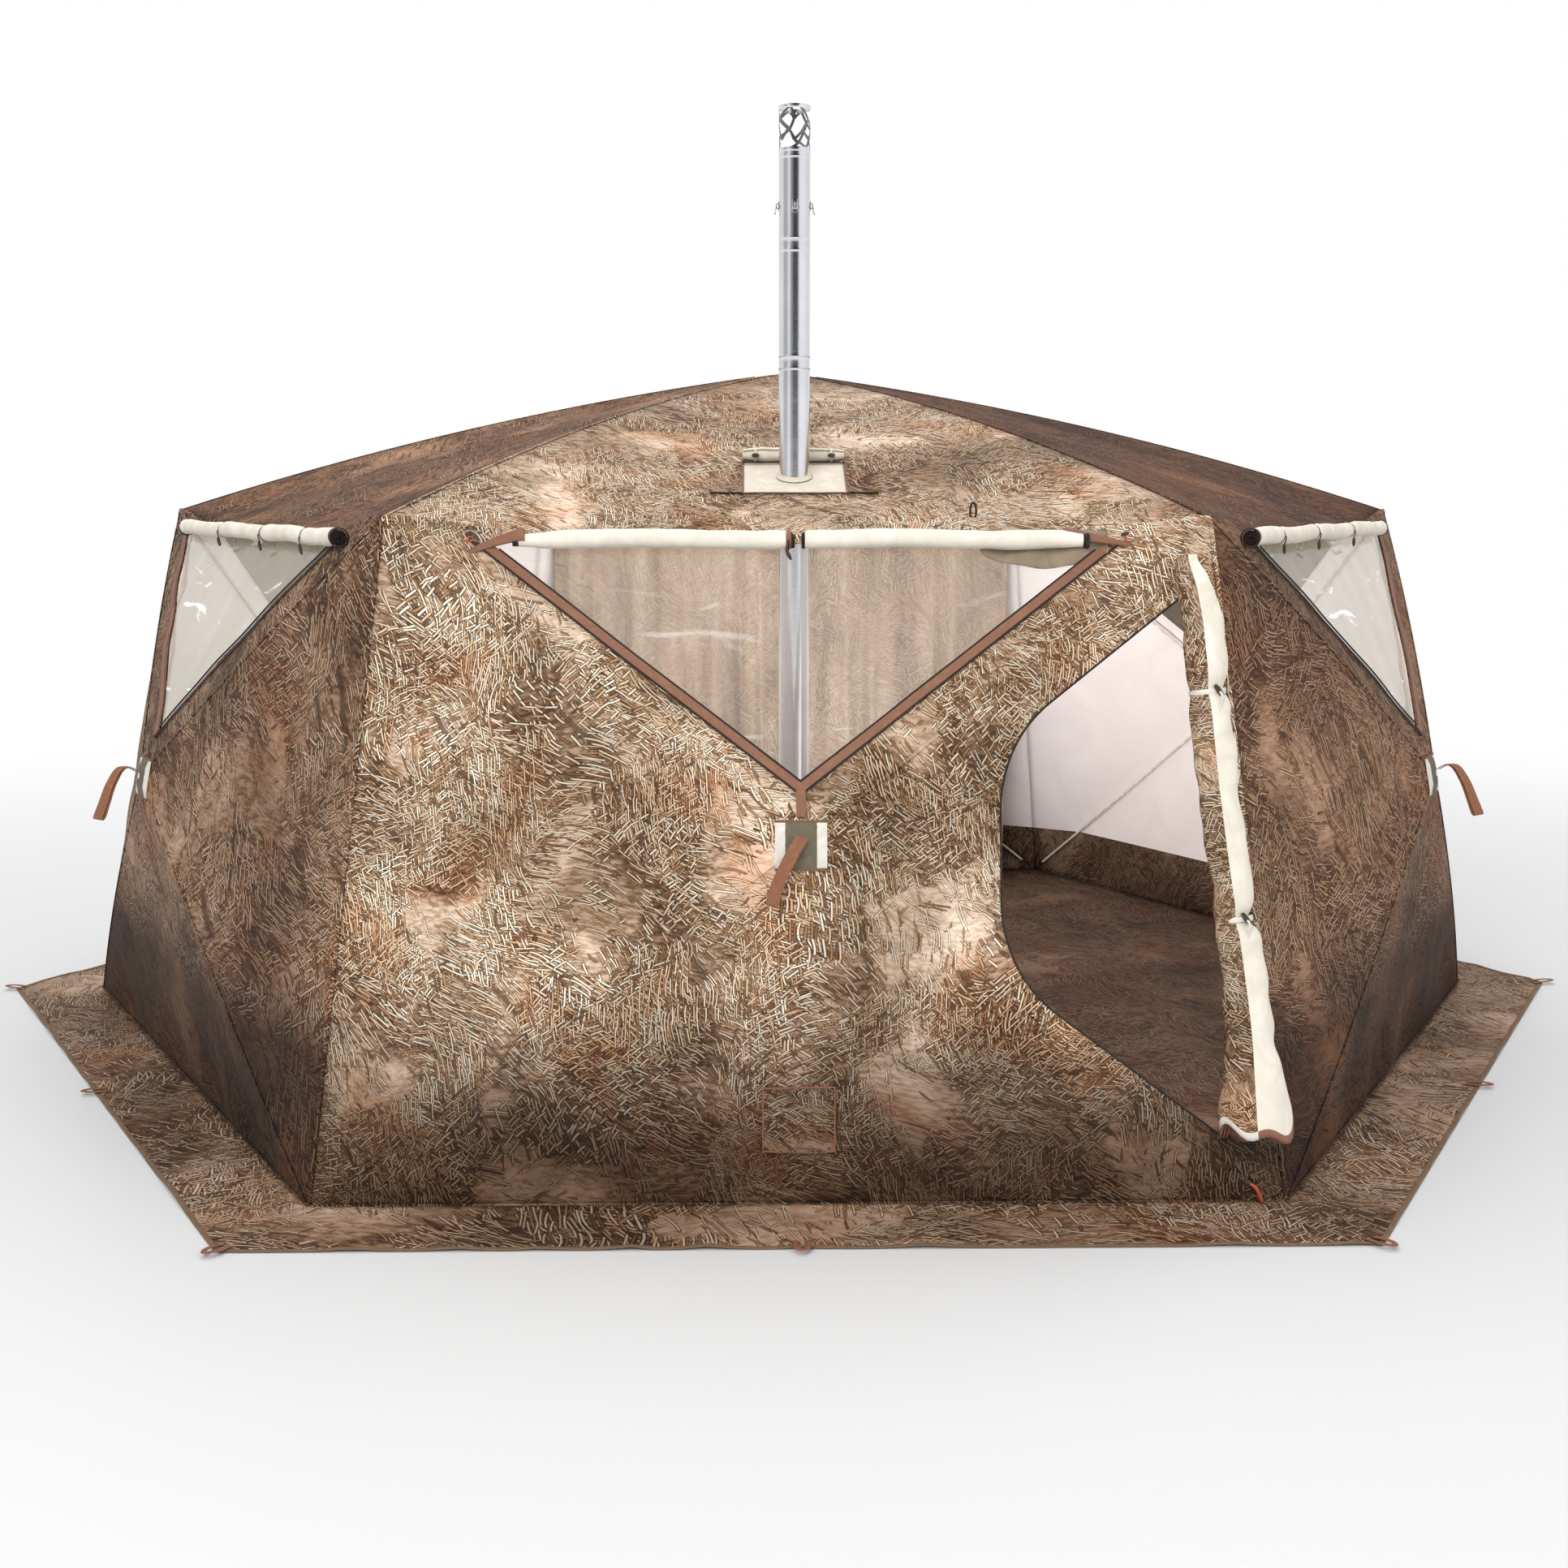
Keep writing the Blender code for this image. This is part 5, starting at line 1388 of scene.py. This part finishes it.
def roof_frame():
    """Roof hub under its round patch, and the six roof poles."""
    normal = panel_frame("roof")[3]
    pairs = [(turned(normal, k), turned(normal, k - 1)) for k in range(6)]
    corners = [turned(TOP_LEFT, k) for k in range(6)]
    found = arms(pairs, corners, APEX, UP, 0.075)
    parts = casting(found, APEX, UP, 0.0)
    radius = np.linspace(0.0005, 0.066, 12)[:, None]
    angle = np.linspace(0, 2 * math.pi, 61)
    slope = math.tan(math.acos(normal @ UP)) * np.cos((angle + math.radians(90) + TURN / 2) % TURN - TURN / 2)
    height = APEX_HEIGHT + 0.0018 - radius * slope
    ring = np.stack([radius * np.cos(angle), radius * np.sin(angle), height], -1)
    parts.append((slab(ring, ring[..., :2], UP * 0.0014), ROOF_CAMOUFLAGE[0]))
    parts.append((strip(ring[-1, :-1], UP, rounded_bar(0.006, 0.0024), True), SEAM_CLOTH))
    item = make("roof_hub_assembly", parts, 0)
    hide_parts("roof_hub")
    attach(item, "roof_hub")
    for k, (name, arm) in enumerate(zip(ROOF_POLES, found)):
        pin, way, direction, length = arm
        back = (turned(pin, -k), turned(way, -k), turned(direction, -k), length)
        pole(f"roof_pole_{name}", back, UP, 0.045, k)


# Ground cloths and curtain


def hexagon_ring(radii, heights, columns=48):
    """Level six-sided rings: rows of points, one for each radius."""
    angles = -120 + 60 * np.arange(6)
    corners = np.stack([np.cos(np.radians(angles)), np.sin(np.radians(angles)), np.zeros(6)], -1)
    share = np.arange(columns) / columns
    loop = np.concatenate([a + (b - a) * share[:, None] for a, b in zip(corners, np.roll(corners, -1, 0))])
    return loop[None] * np.asarray(radii)[:, None, None] + UP * np.asarray(heights)[:, None, None]


def ground_cloths():
    """Snow skirt with its ripples, hem and peg loops, and the groundsheet."""
    outer = (FLOOR_RADIUS * math.cos(math.radians(30)) + SKIRT_WIDTH) / math.cos(math.radians(30))
    share = np.linspace(0, 1, 14)
    radii = FLOOR_RADIUS + 0.001 + (outer - FLOOR_RADIUS - 0.003) * share
    points = hexagon_ring(radii, 0.0025 + 0.006 * (1 - share) ** 4)
    angle = np.arctan2(points[..., 1], points[..., 0])
    ripple = waves(points, 31, 0.5, 0.12, 9) * 0.0045
    ripple = ripple + 0.004 * np.sin(angle * 61 + 3 * np.sin(angle * 7)) * share[:, None]
    points = points + UP * np.maximum(ripple * smooth(share, 0, 0.3)[:, None], -0.001)[..., None]
    uv = np.concatenate([points, points[:, :1]], 1)[..., :2]
    item = make("skirt_cloth", [(faced(grid(points, uv, False, True), UP), SKIRT_CAMOUFLAGE)], 0)
    lined(item, SKIRT_CAMOUFLAGE, 0.0015)
    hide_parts("snow_skirt")
    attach(item, "shell")
    hem = points[-1]
    inner = points[-2] * 0.3 + points[-1] * 0.7
    parts = []
    for path, width, height in ((hem, 0.010, 0.003), (inner, 0.004, 0.0024)):
        parts.append((strip(path + UP * 0.0006, UP, rounded_bar(width, height), True), SEAM_CLOTH))
    for k in range(12):
        spot = hem[k * 24]
        away = unit(spot * [1, 1, 0])
        beside = np.cross(UP, away)
        bends = ((-0.03, -0.012), (0.012, -0.014), (0.035, 0), (0.012, 0.014), (-0.03, 0.012))
        route = np.array([spot + away * reach + beside * shift for reach, shift in bends])
        rise = 0.006 + 0.006 * np.sin(np.linspace(0, math.pi, 24))
        path = curve(route, 24) * [1, 1, 0] + UP * rise[:, None]
        parts.append((strip(path, UP, rounded_bar(0.012, 0.0022)), WEBBING))
    loops = make("skirt_hem_and_loops", parts, 0)
    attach(loops, "shell")
    share = np.linspace(0.0003, 1, 40)
    radius = FLOOR_RADIUS - 0.006
    floor_points = hexagon_ring(radius * share, np.full(len(share), 0.002))
    lift = np.maximum(waves(floor_points, 12, 0.7, 0.2, 9), -0.2) * 0.004
    lift = lift * smooth(1 - share, 0, 0.05)[:, None]
    floor_points = floor_points + UP * np.maximum(lift, 0)[..., None]
    uv = np.concatenate([floor_points, floor_points[:, :1]], 1)[..., :2]
    item = make("floor_sheet", [(faced(grid(floor_points, uv, False, True), UP), FLOOR_CLOTH)], 0)
    lined(item, FLOOR_CLOTH, 0.0015)
    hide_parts("groundsheet")
    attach(item, "shell")


def back_curtain():
    """Brown curtain in uneven hanging folds before the back wall: y = seat - depth * (1 - cos) / 2."""
    x = np.linspace(-0.89, 0.925, 430)[None]
    z = np.linspace(0.06, 1.5, 60)[:, None]
    fall = (1.5 - z) / 1.44
    phase = x * 58 + 1.3 * np.sin(x * 7 + 1) + 0.8 * np.sin(x * 17 + z * 1.2)
    phase = phase + 0.5 * fall * np.sin(x * 11 + 2)
    depth = 0.010 + 0.018 * smooth(fall, 0, 0.5) * (0.7 + 0.3 * np.sin(x * 5 + z))
    y = 1.640 - depth * (1 - np.cos(phase)) / 2
    points = np.stack(np.broadcast_arrays(x + 0.004 * np.sin(phase), y, z), -1)
    uv = np.stack(np.broadcast_arrays(x * 1.25 + 12, z), -1)
    item = make("hanging_curtain", [(faced(grid(points, uv), [0, -1, 0]), CURTAIN)], 0)
    lined(item, CURTAIN, 0.0012)
    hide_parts("back_curtain")
    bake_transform(item)


# Chimney


AXIS = np.array([0, -PIPE_DISTANCE, 0.0])


def ear(angle, height):
    """Riveted ear with a guy ring through it."""
    away = np.array([math.cos(angle), math.sin(angle), 0])
    beside = np.cross(UP, away)
    at = AXIS + away * PIPE_RADIUS + UP * height
    plate_path = at + UP * np.array([-0.012, -0.010, 0.010, 0.012])[:, None]
    plate = carried(plate_path, beside, away, tapered([0.7, 1, 1, 0.7], rounded_bar(0.013, 0.0022)))
    t = np.linspace(-1, 1, 12) * math.pi / 2
    staple = at + away * (np.cos(t) * 0.007)[:, None] + UP * (np.sin(t) * 0.006)[:, None]
    a = np.arange(24) * 2 * math.pi / 24
    ring = at + away * 0.0075 - UP * 0.009 + beside * (np.sin(a) * 0.0105)[:, None]
    ring = ring + (UP * 0.0105 - away * 0.002) * np.cos(a)[:, None]
    return [
        (plate, STEEL),
        (strip(staple, beside, round_bar(0.0014, 8)), STEEL),
        (strip(ring, away, round_bar(0.0013, 8), True), STEEL),
    ]


def section(foot, joint, spigot):
    """Pipe section as a closed profile: its wall with a rolled bead at each end, and its narrower spigot."""
    r, wall = PIPE_RADIUS, 0.001
    bead, neck, lip = r + 0.0011, r - 0.0013, r - 0.0023
    profile = [(r, foot), (r, foot + 0.010), (bead, foot + 0.013), (r, foot + 0.016), (r, foot + 0.019)]
    profile += [(r, joint - 0.021), (r, joint - 0.018), (bead, joint - 0.015), (r, joint - 0.012)]
    profile += [(r, joint - 0.009), (r, joint)]
    if spigot:
        profile += [(neck, joint), (neck, joint + 0.043), (r - 0.0016, joint + 0.045)]
        profile += [(lip, joint + 0.045), (lip, joint - wall)]
    profile += [(r - wall, joint - wall if spigot else joint), (r - wall, foot)]
    return revolved(profile, AXIS)


def lap(foot, joint, angle):
    """Folded seam up a pipe."""
    away = np.array([math.cos(angle), math.sin(angle), 0])
    path = AXIS + away * (PIPE_RADIUS + 0.0001) + UP * np.linspace(foot + 0.002, joint - 0.002, 30)[:, None]
    return carried(path, np.cross(UP, away), away, rounded_bar(0.005, 0.0012))


def cage():
    """Spark arrestor's cage: two rims joined by a net of bent flat bars over the pipe's own curve."""
    draw = np.random.default_rng(11)
    rows, count = 5, 6
    heights = np.linspace(CAGE_FOOT + 0.004, CHIMNEY_TOP - 0.005, rows)
    inner = (np.arange(rows) > 0) & (np.arange(rows) < rows - 1)
    place = np.arange(count)[None] + 0.5 * (np.arange(rows)[:, None] % 2)
    angle = (place + 0.26 * draw.uniform(-1, 1, (rows, count))) * 2 * math.pi / count
    height = heights[:, None] + 0.007 * draw.uniform(-1, 1, (rows, count)) * inner[:, None]
    parts = []
    for row in range(rows - 1):
        for k in range(count):
            for step in (0, 1 if row % 2 else -1):
                if draw.random() < 0.16:
                    continue
                other = (k + step) % count
                end = angle[row + 1, other]
                end = end + 2 * math.pi * round((angle[row, k] - end) / (2 * math.pi))
                t = np.linspace(0, 1, 6)
                bend = 0.09 * np.sin(math.pi * t) * draw.uniform(-1, 1)
                a = angle[row, k] + (end - angle[row, k]) * t + bend
                z = height[row, k] + (height[row + 1, other] - height[row, k]) * t
                away = np.stack([np.cos(a), np.sin(a), np.zeros(6)], -1)
                path = AXIS + away * (PIPE_RADIUS - 0.0006) + UP * z[:, None]
                side, _ = along_path(path, away)
                parts.append((carried(path, side, away, rounded_bar(0.0064, 0.0012, 8)), DARK_STEEL))
    r = PIPE_RADIUS
    for low, high in ((CAGE_FOOT - 0.004, CAGE_FOOT + 0.006), (CHIMNEY_TOP - 0.009, CHIMNEY_TOP)):
        outer, inner = r + 0.0008, r - 0.0012
        profile = [(r, low), (outer, low + 0.0015), (outer, high - 0.0015), (r, high)]
        profile += [(inner, high), (inner, low)]
        parts.append((revolved(profile, AXIS), STEEL))
    return parts


def chimney():
    """Two pipe sections and the spark arrestor, each on its own slide."""
    for name, node, body, foot, joint, spigot in (
        ("lower_flue_pipe", "chimney_lower_pipe", "lower_pipe", PIPE_FOOT, LOWER_JOINT, True),
        ("upper_flue_pipe", "chimney_upper_pipe", "upper_pipe", LOWER_JOINT + 0.0004, UPPER_JOINT, True),
        ("flue_top", "spark_arrestor", "spark_arrestor", UPPER_JOINT + 0.0004, CAGE_FOOT, False),
    ):
        parts = [(section(foot, joint, spigot), STEEL), (lap(foot, joint, math.radians(35)), STEEL)]
        if node == "spark_arrestor":
            parts += cage()
            for k in range(4):
                parts += ear(math.radians(-90 + 90 * k), RING_HEIGHT)
        item = make(name, parts, 0, 35)
        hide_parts(node)
        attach(item, body)


def jack():
    """Stove jack: cloth patch with a round hole, cuff round the pipe, side patches and rolled cover, with
    dark strips of painted shadow along the roll.
    """
    normal = panel_frame("roof")[3]
    half_width, half_height, middle = JACK_HALF_WIDTH, JACK_HALF_HEIGHT, JACK_MIDDLE
    count = 96
    angle = np.arange(count) * 2 * math.pi / count
    c, s = np.cos(angle), np.sin(angle)
    hole = np.stack([(PIPE_RADIUS + 0.0015) * c, (PIPE_RADIUS + 0.0015) * s * ROOF_SLOPE], -1)
    reach = np.minimum(half_width / np.maximum(abs(c), 1e-9), half_height / np.maximum(abs(s), 1e-9))
    box = reach[:, None] * np.stack([c, s], -1)
    share = np.linspace(0, 1, 12)[:, None, None]
    flat = hole + (box - hole) * share + [0, middle]
    top = lifted(on_roof(flat), "roof", 0, 0.0, 0.0015)
    uv = np.concatenate([flat, flat[:, :1]], 1)
    item = make("jack_patch", [(faced(grid(top, uv, False, True), normal), JACK_CLOTH)], 0)
    lined(item, JACK_CLOTH, 0.002)
    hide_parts("stove_jack")
    hang(item)
    edge = lifted(on_roof(looped(jack_corners(), 24)), "roof", 0, 0.002, 0.0015)
    parts = [(band(edge, "roof", 0.007, 0.003, True), SEAM_CLOTH)]
    for low, high in ((-0.205, -0.128), (0.128, 0.2)):
        seam = line([low, middle - 0.117], [high, middle - 0.117], 12)
        parts.append((band(lifted(on_roof(seam), "roof", 0, 0.003, 0.0015), "roof", 0.006, 0.003), ZIP))
    for way in (-1, 1):
        x = np.linspace(0.128, 0.205, 10) * way
        y = np.linspace(middle - 0.112, middle + 0.03, 14)
        flat = np.stack(np.meshgrid(x, y), -1)
        flat[..., 0] += way * 0.05 * (flat[..., 1] - middle) * (abs(flat[..., 0]) > 0.15)
        side_top = lifted(on_roof(flat), "roof", 0, 0.004, 0.0015)
        parts.append((slab(side_top, flat + [3.4, 8.2], normal * 0.002), ROOF_CAMOUFLAGE[3]))
    cuff_angle = np.linspace(0, 2 * math.pi, 49)
    base = np.stack([np.cos(cuff_angle), np.sin(cuff_angle) * ROOF_SLOPE], -1)
    rows = []
    for gap, height in ((0.007, 0.002), (0.004, 0.004), (0.0022, 0.008), (0.0016, 0.011)):
        around = on_roof(base * (PIPE_RADIUS + gap) + [0, middle])
        rows.append(lifted(around, "roof", 0, 0.001, 0.0) + UP * height)
    uv = np.stack(np.broadcast_arrays(cuff_angle[None] * 0.04, np.linspace(0, 0.03, 4)[:, None]), -1)
    parts.append((slab(np.stack(rows), uv, normal * 0.0008), JACK_CLOTH))
    trim_item = make("jack_trim", parts, 0)
    hang(trim_item)
    x = np.linspace(-half_width, half_width, 40)
    tied = 1 - 0.12 * np.exp(-((abs(x) - 0.094) / 0.01) ** 2)
    radius = 0.0175 * tied * (1 - 0.3 * smooth(abs(x), 0.09, half_width))
    line_path = lifted(on_roof(np.stack([x, np.full(40, middle + 0.112)], -1)), "roof", 0, 0.0185, 0.0)
    shape, flat_size = rolled(line_path, -ROOF_UP, normal, radius, 2.3, 0.005, 2.6, 24, 9, 0.0012)
    item = make("jack_roll", [(shape, JACK_CLOTH)], 0, 60)
    thickened(item, 0.002)
    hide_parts("jack_cover_roll")
    hang(item)
    parts = []
    for x_end in (-0.094, 0.094):
        centre = line_path[abs(x - x_end).argmin()]
        parts.append((hoop(centre, ACROSS, normal, 0.0165, 0.006, 0.0018), JACK_CLOTH))
        toggle_at = centre - ROOF_UP * 0.024 + normal * 0.004
        parts.append((barrel(toggle_at, [1, -0.3, 0], 0.018, 0.0055), TOGGLE_PLASTIC))
    # Dark strips of the black zip tape along both sides of the roll, low down where it meets the roof:
    # painted shadow.
    for offset in (-0.0205, 0.0205):
        shadow_strip_path = line_path + ROOF_UP * offset - normal * 0.014
        parts.append((strip(shadow_strip_path, normal, rounded_bar(0.006, 0.003)), ZIP))
    item = make("jack_roll_ties", parts, 0)
    hang(item)


for step, wall_name in enumerate(WALLS):
    seams(step, wall_name)
    wall_hub(step, wall_name)
    if wall_name in WINDOW_WALLS:
        window_trims(step, wall_name)
roof_frame()
for cover in (
    ("front_cover_left", 0, -0.64, -0.008, (0.12, 0.01), "window_roll_front_left_half", (-0.02,), 1, 0.62),
    ("front_cover_right", 0, 0.008, 0.655, (0.01, 0.08), "window_roll_front_right_half", (), 2, 0.68),
    ("side_cover_right", 1, -0.8, 0.64, (0.01, 0.01), "window_roll_front_right", (-0.55, -0.2, 0.2), 3, 0.95),
    ("side_cover_left", 5, -0.64, 0.8, (0.01, 0.01), "window_roll_front_left", (-0.2, 0.2, 0.55), 4, 0.95),
):
    window_roll(*cover)
window_extras()
door_edge()
door_roll()
vent_flap()
inner_windows()
ground_cloths()
back_curtain()
chimney()
jack()

# Stage


def look_along(forward, right):
    """Turn that points a camera along one way with another to its right."""
    up = np.cross(right, forward)
    return Matrix(np.stack([right, up, -forward], -1).tolist())


pitch, yaw, roll = -0.1544, 0.0172, 0.0006
ahead = np.array([math.sin(yaw) * math.cos(pitch), math.cos(yaw) * math.cos(pitch), math.sin(pitch)])
level = np.array([math.cos(yaw), -math.sin(yaw), 0])
right = math.cos(roll) * level + math.sin(roll) * np.cross(level, ahead)
camera = bpy.data.objects.new("camera", bpy.data.cameras.new("camera"))
camera.data.lens = 43.15
camera.data.sensor_width = 36
camera.matrix_world = Matrix.Translation((-0.1047, -5.9339, 1.5887)) @ look_along(ahead, right).to_4x4()
bpy.context.scene.collection.objects.link(camera)
bpy.context.scene.camera = camera

floor_mesh = bpy.data.meshes.new("studio floor")
floor_corners = [(40 * x, 40 * y, -0.001) for x, y in ((-1, -1), (1, -1), (1, 1), (-1, 1))]
floor_mesh.from_pydata(floor_corners, [], [(0, 1, 2, 3)])
floor = bpy.data.objects.new("studio_floor", floor_mesh)
bpy.context.scene.collection.objects.link(floor)
floor_finish, floor_tree, floor_sockets = start_material("studio floor", 0.6)
floor_sockets["Base Color"].default_value = (0.60, 0.60, 0.60, 1)
floor_place = add(floor_tree, "TexCoord").outputs["Object"]
distance = add(floor_tree, "VectorMath", {0: floor_place}, operation="LENGTH").outputs["Value"]
backdrop = add(floor_tree, "Emission", {"Color": (1, 1, 1, 1), "Strength": 1.0})
floor_rays = add(floor_tree, "LightPath")
shown_rays = floor_rays.outputs["Is Camera Ray"]
for ray_kind in ("Is Glossy Ray", "Is Transmission Ray"):
    shown_rays = maths(floor_tree, "MAXIMUM", shown_rays, floor_rays.outputs[ray_kind])
fade = times(floor_tree, between(floor_tree, distance, 2.6, 7.5), shown_rays)
floor_shader = floor_tree.nodes["Principled BSDF"].outputs[0]
floor_mix = add(floor_tree, "MixShader", {0: fade, 1: floor_shader, 2: backdrop.outputs[0]})
floor_tree.links.new(floor_mix.outputs[0], floor_tree.nodes["Material Output"].inputs["Surface"])
floor_mesh.materials.append(floor_finish)


def area_light(name, place, target, size, power):
    """Soft square lamp aimed at a point, not seen itself."""
    lamp = bpy.data.objects.new(name, bpy.data.lights.new(name, "AREA"))
    lamp.data.size = size
    lamp.data.energy = power
    lamp.location = place
    lamp.rotation_euler = (Vector(target) - Vector(place)).to_track_quat("-Z", "Y").to_euler()
    lamp.visible_camera = False
    lamp.visible_glossy = False
    bpy.context.scene.collection.objects.link(lamp)


area_light("key lamp", (-2.7, -9.0, 6.5), (0, 0, 0.8), 4.5, 610)
area_light("fill lamp", (6.0, -8.0, 4.0), (0, 0, 0.8), 6.0, 200)
area_light("top lamp", (0.0, 1.0, 9.0), (0, 0, 0.5), 6.0, 260)
area_light("back lamp", (-2.0, 9.0, 5.0), (0, 0, 0.8), 6.0, 260)
area_light("cabin lamp", (0.1, -0.1, 0.25), (0.1, 0.5, 2), 1.4, 52)
world = bpy.data.worlds.new("studio")
bpy.context.scene.world = world
world.use_nodes = True
sky = world.node_tree
rays = add(sky, "LightPath")
heading = add(sky, "SeparateXYZ", {"Vector": add(sky, "TexCoord").outputs["Generated"]})
sideways = between(sky, heading.outputs["X"], -1.0, 1.0)
greys = [(0.02, 0.5), (0.06, 0.95), (0.11, 0.95), (0.16, 0.36), (0.30, 0.28), (0.36, 0.06)]
greys += [(0.64, 0.03), (0.80, 0.1), (0.88, 1.0)]
cards = ramp(sky, sideways, [(place, (grey, grey, grey * 1.02, 1)) for place, grey in greys])
ahead_of_tent = between(sky, heading.outputs["Y"], 0.1, -0.1)
in_front = times(sky, ahead_of_tent, rays.outputs["Is Glossy Ray"])
mirrored = mixed(sky, in_front, (0.86, 0.87, 0.88, 1), cards)
seen = maths(sky, "MAXIMUM", rays.outputs["Is Camera Ray"], rays.outputs["Is Transmission Ray"])
sky.links.new(mixed(sky, seen, mirrored, (1, 1, 1, 1)), sky.nodes["Background"].inputs["Color"])
bpy.context.scene.view_settings.view_transform = "Standard"
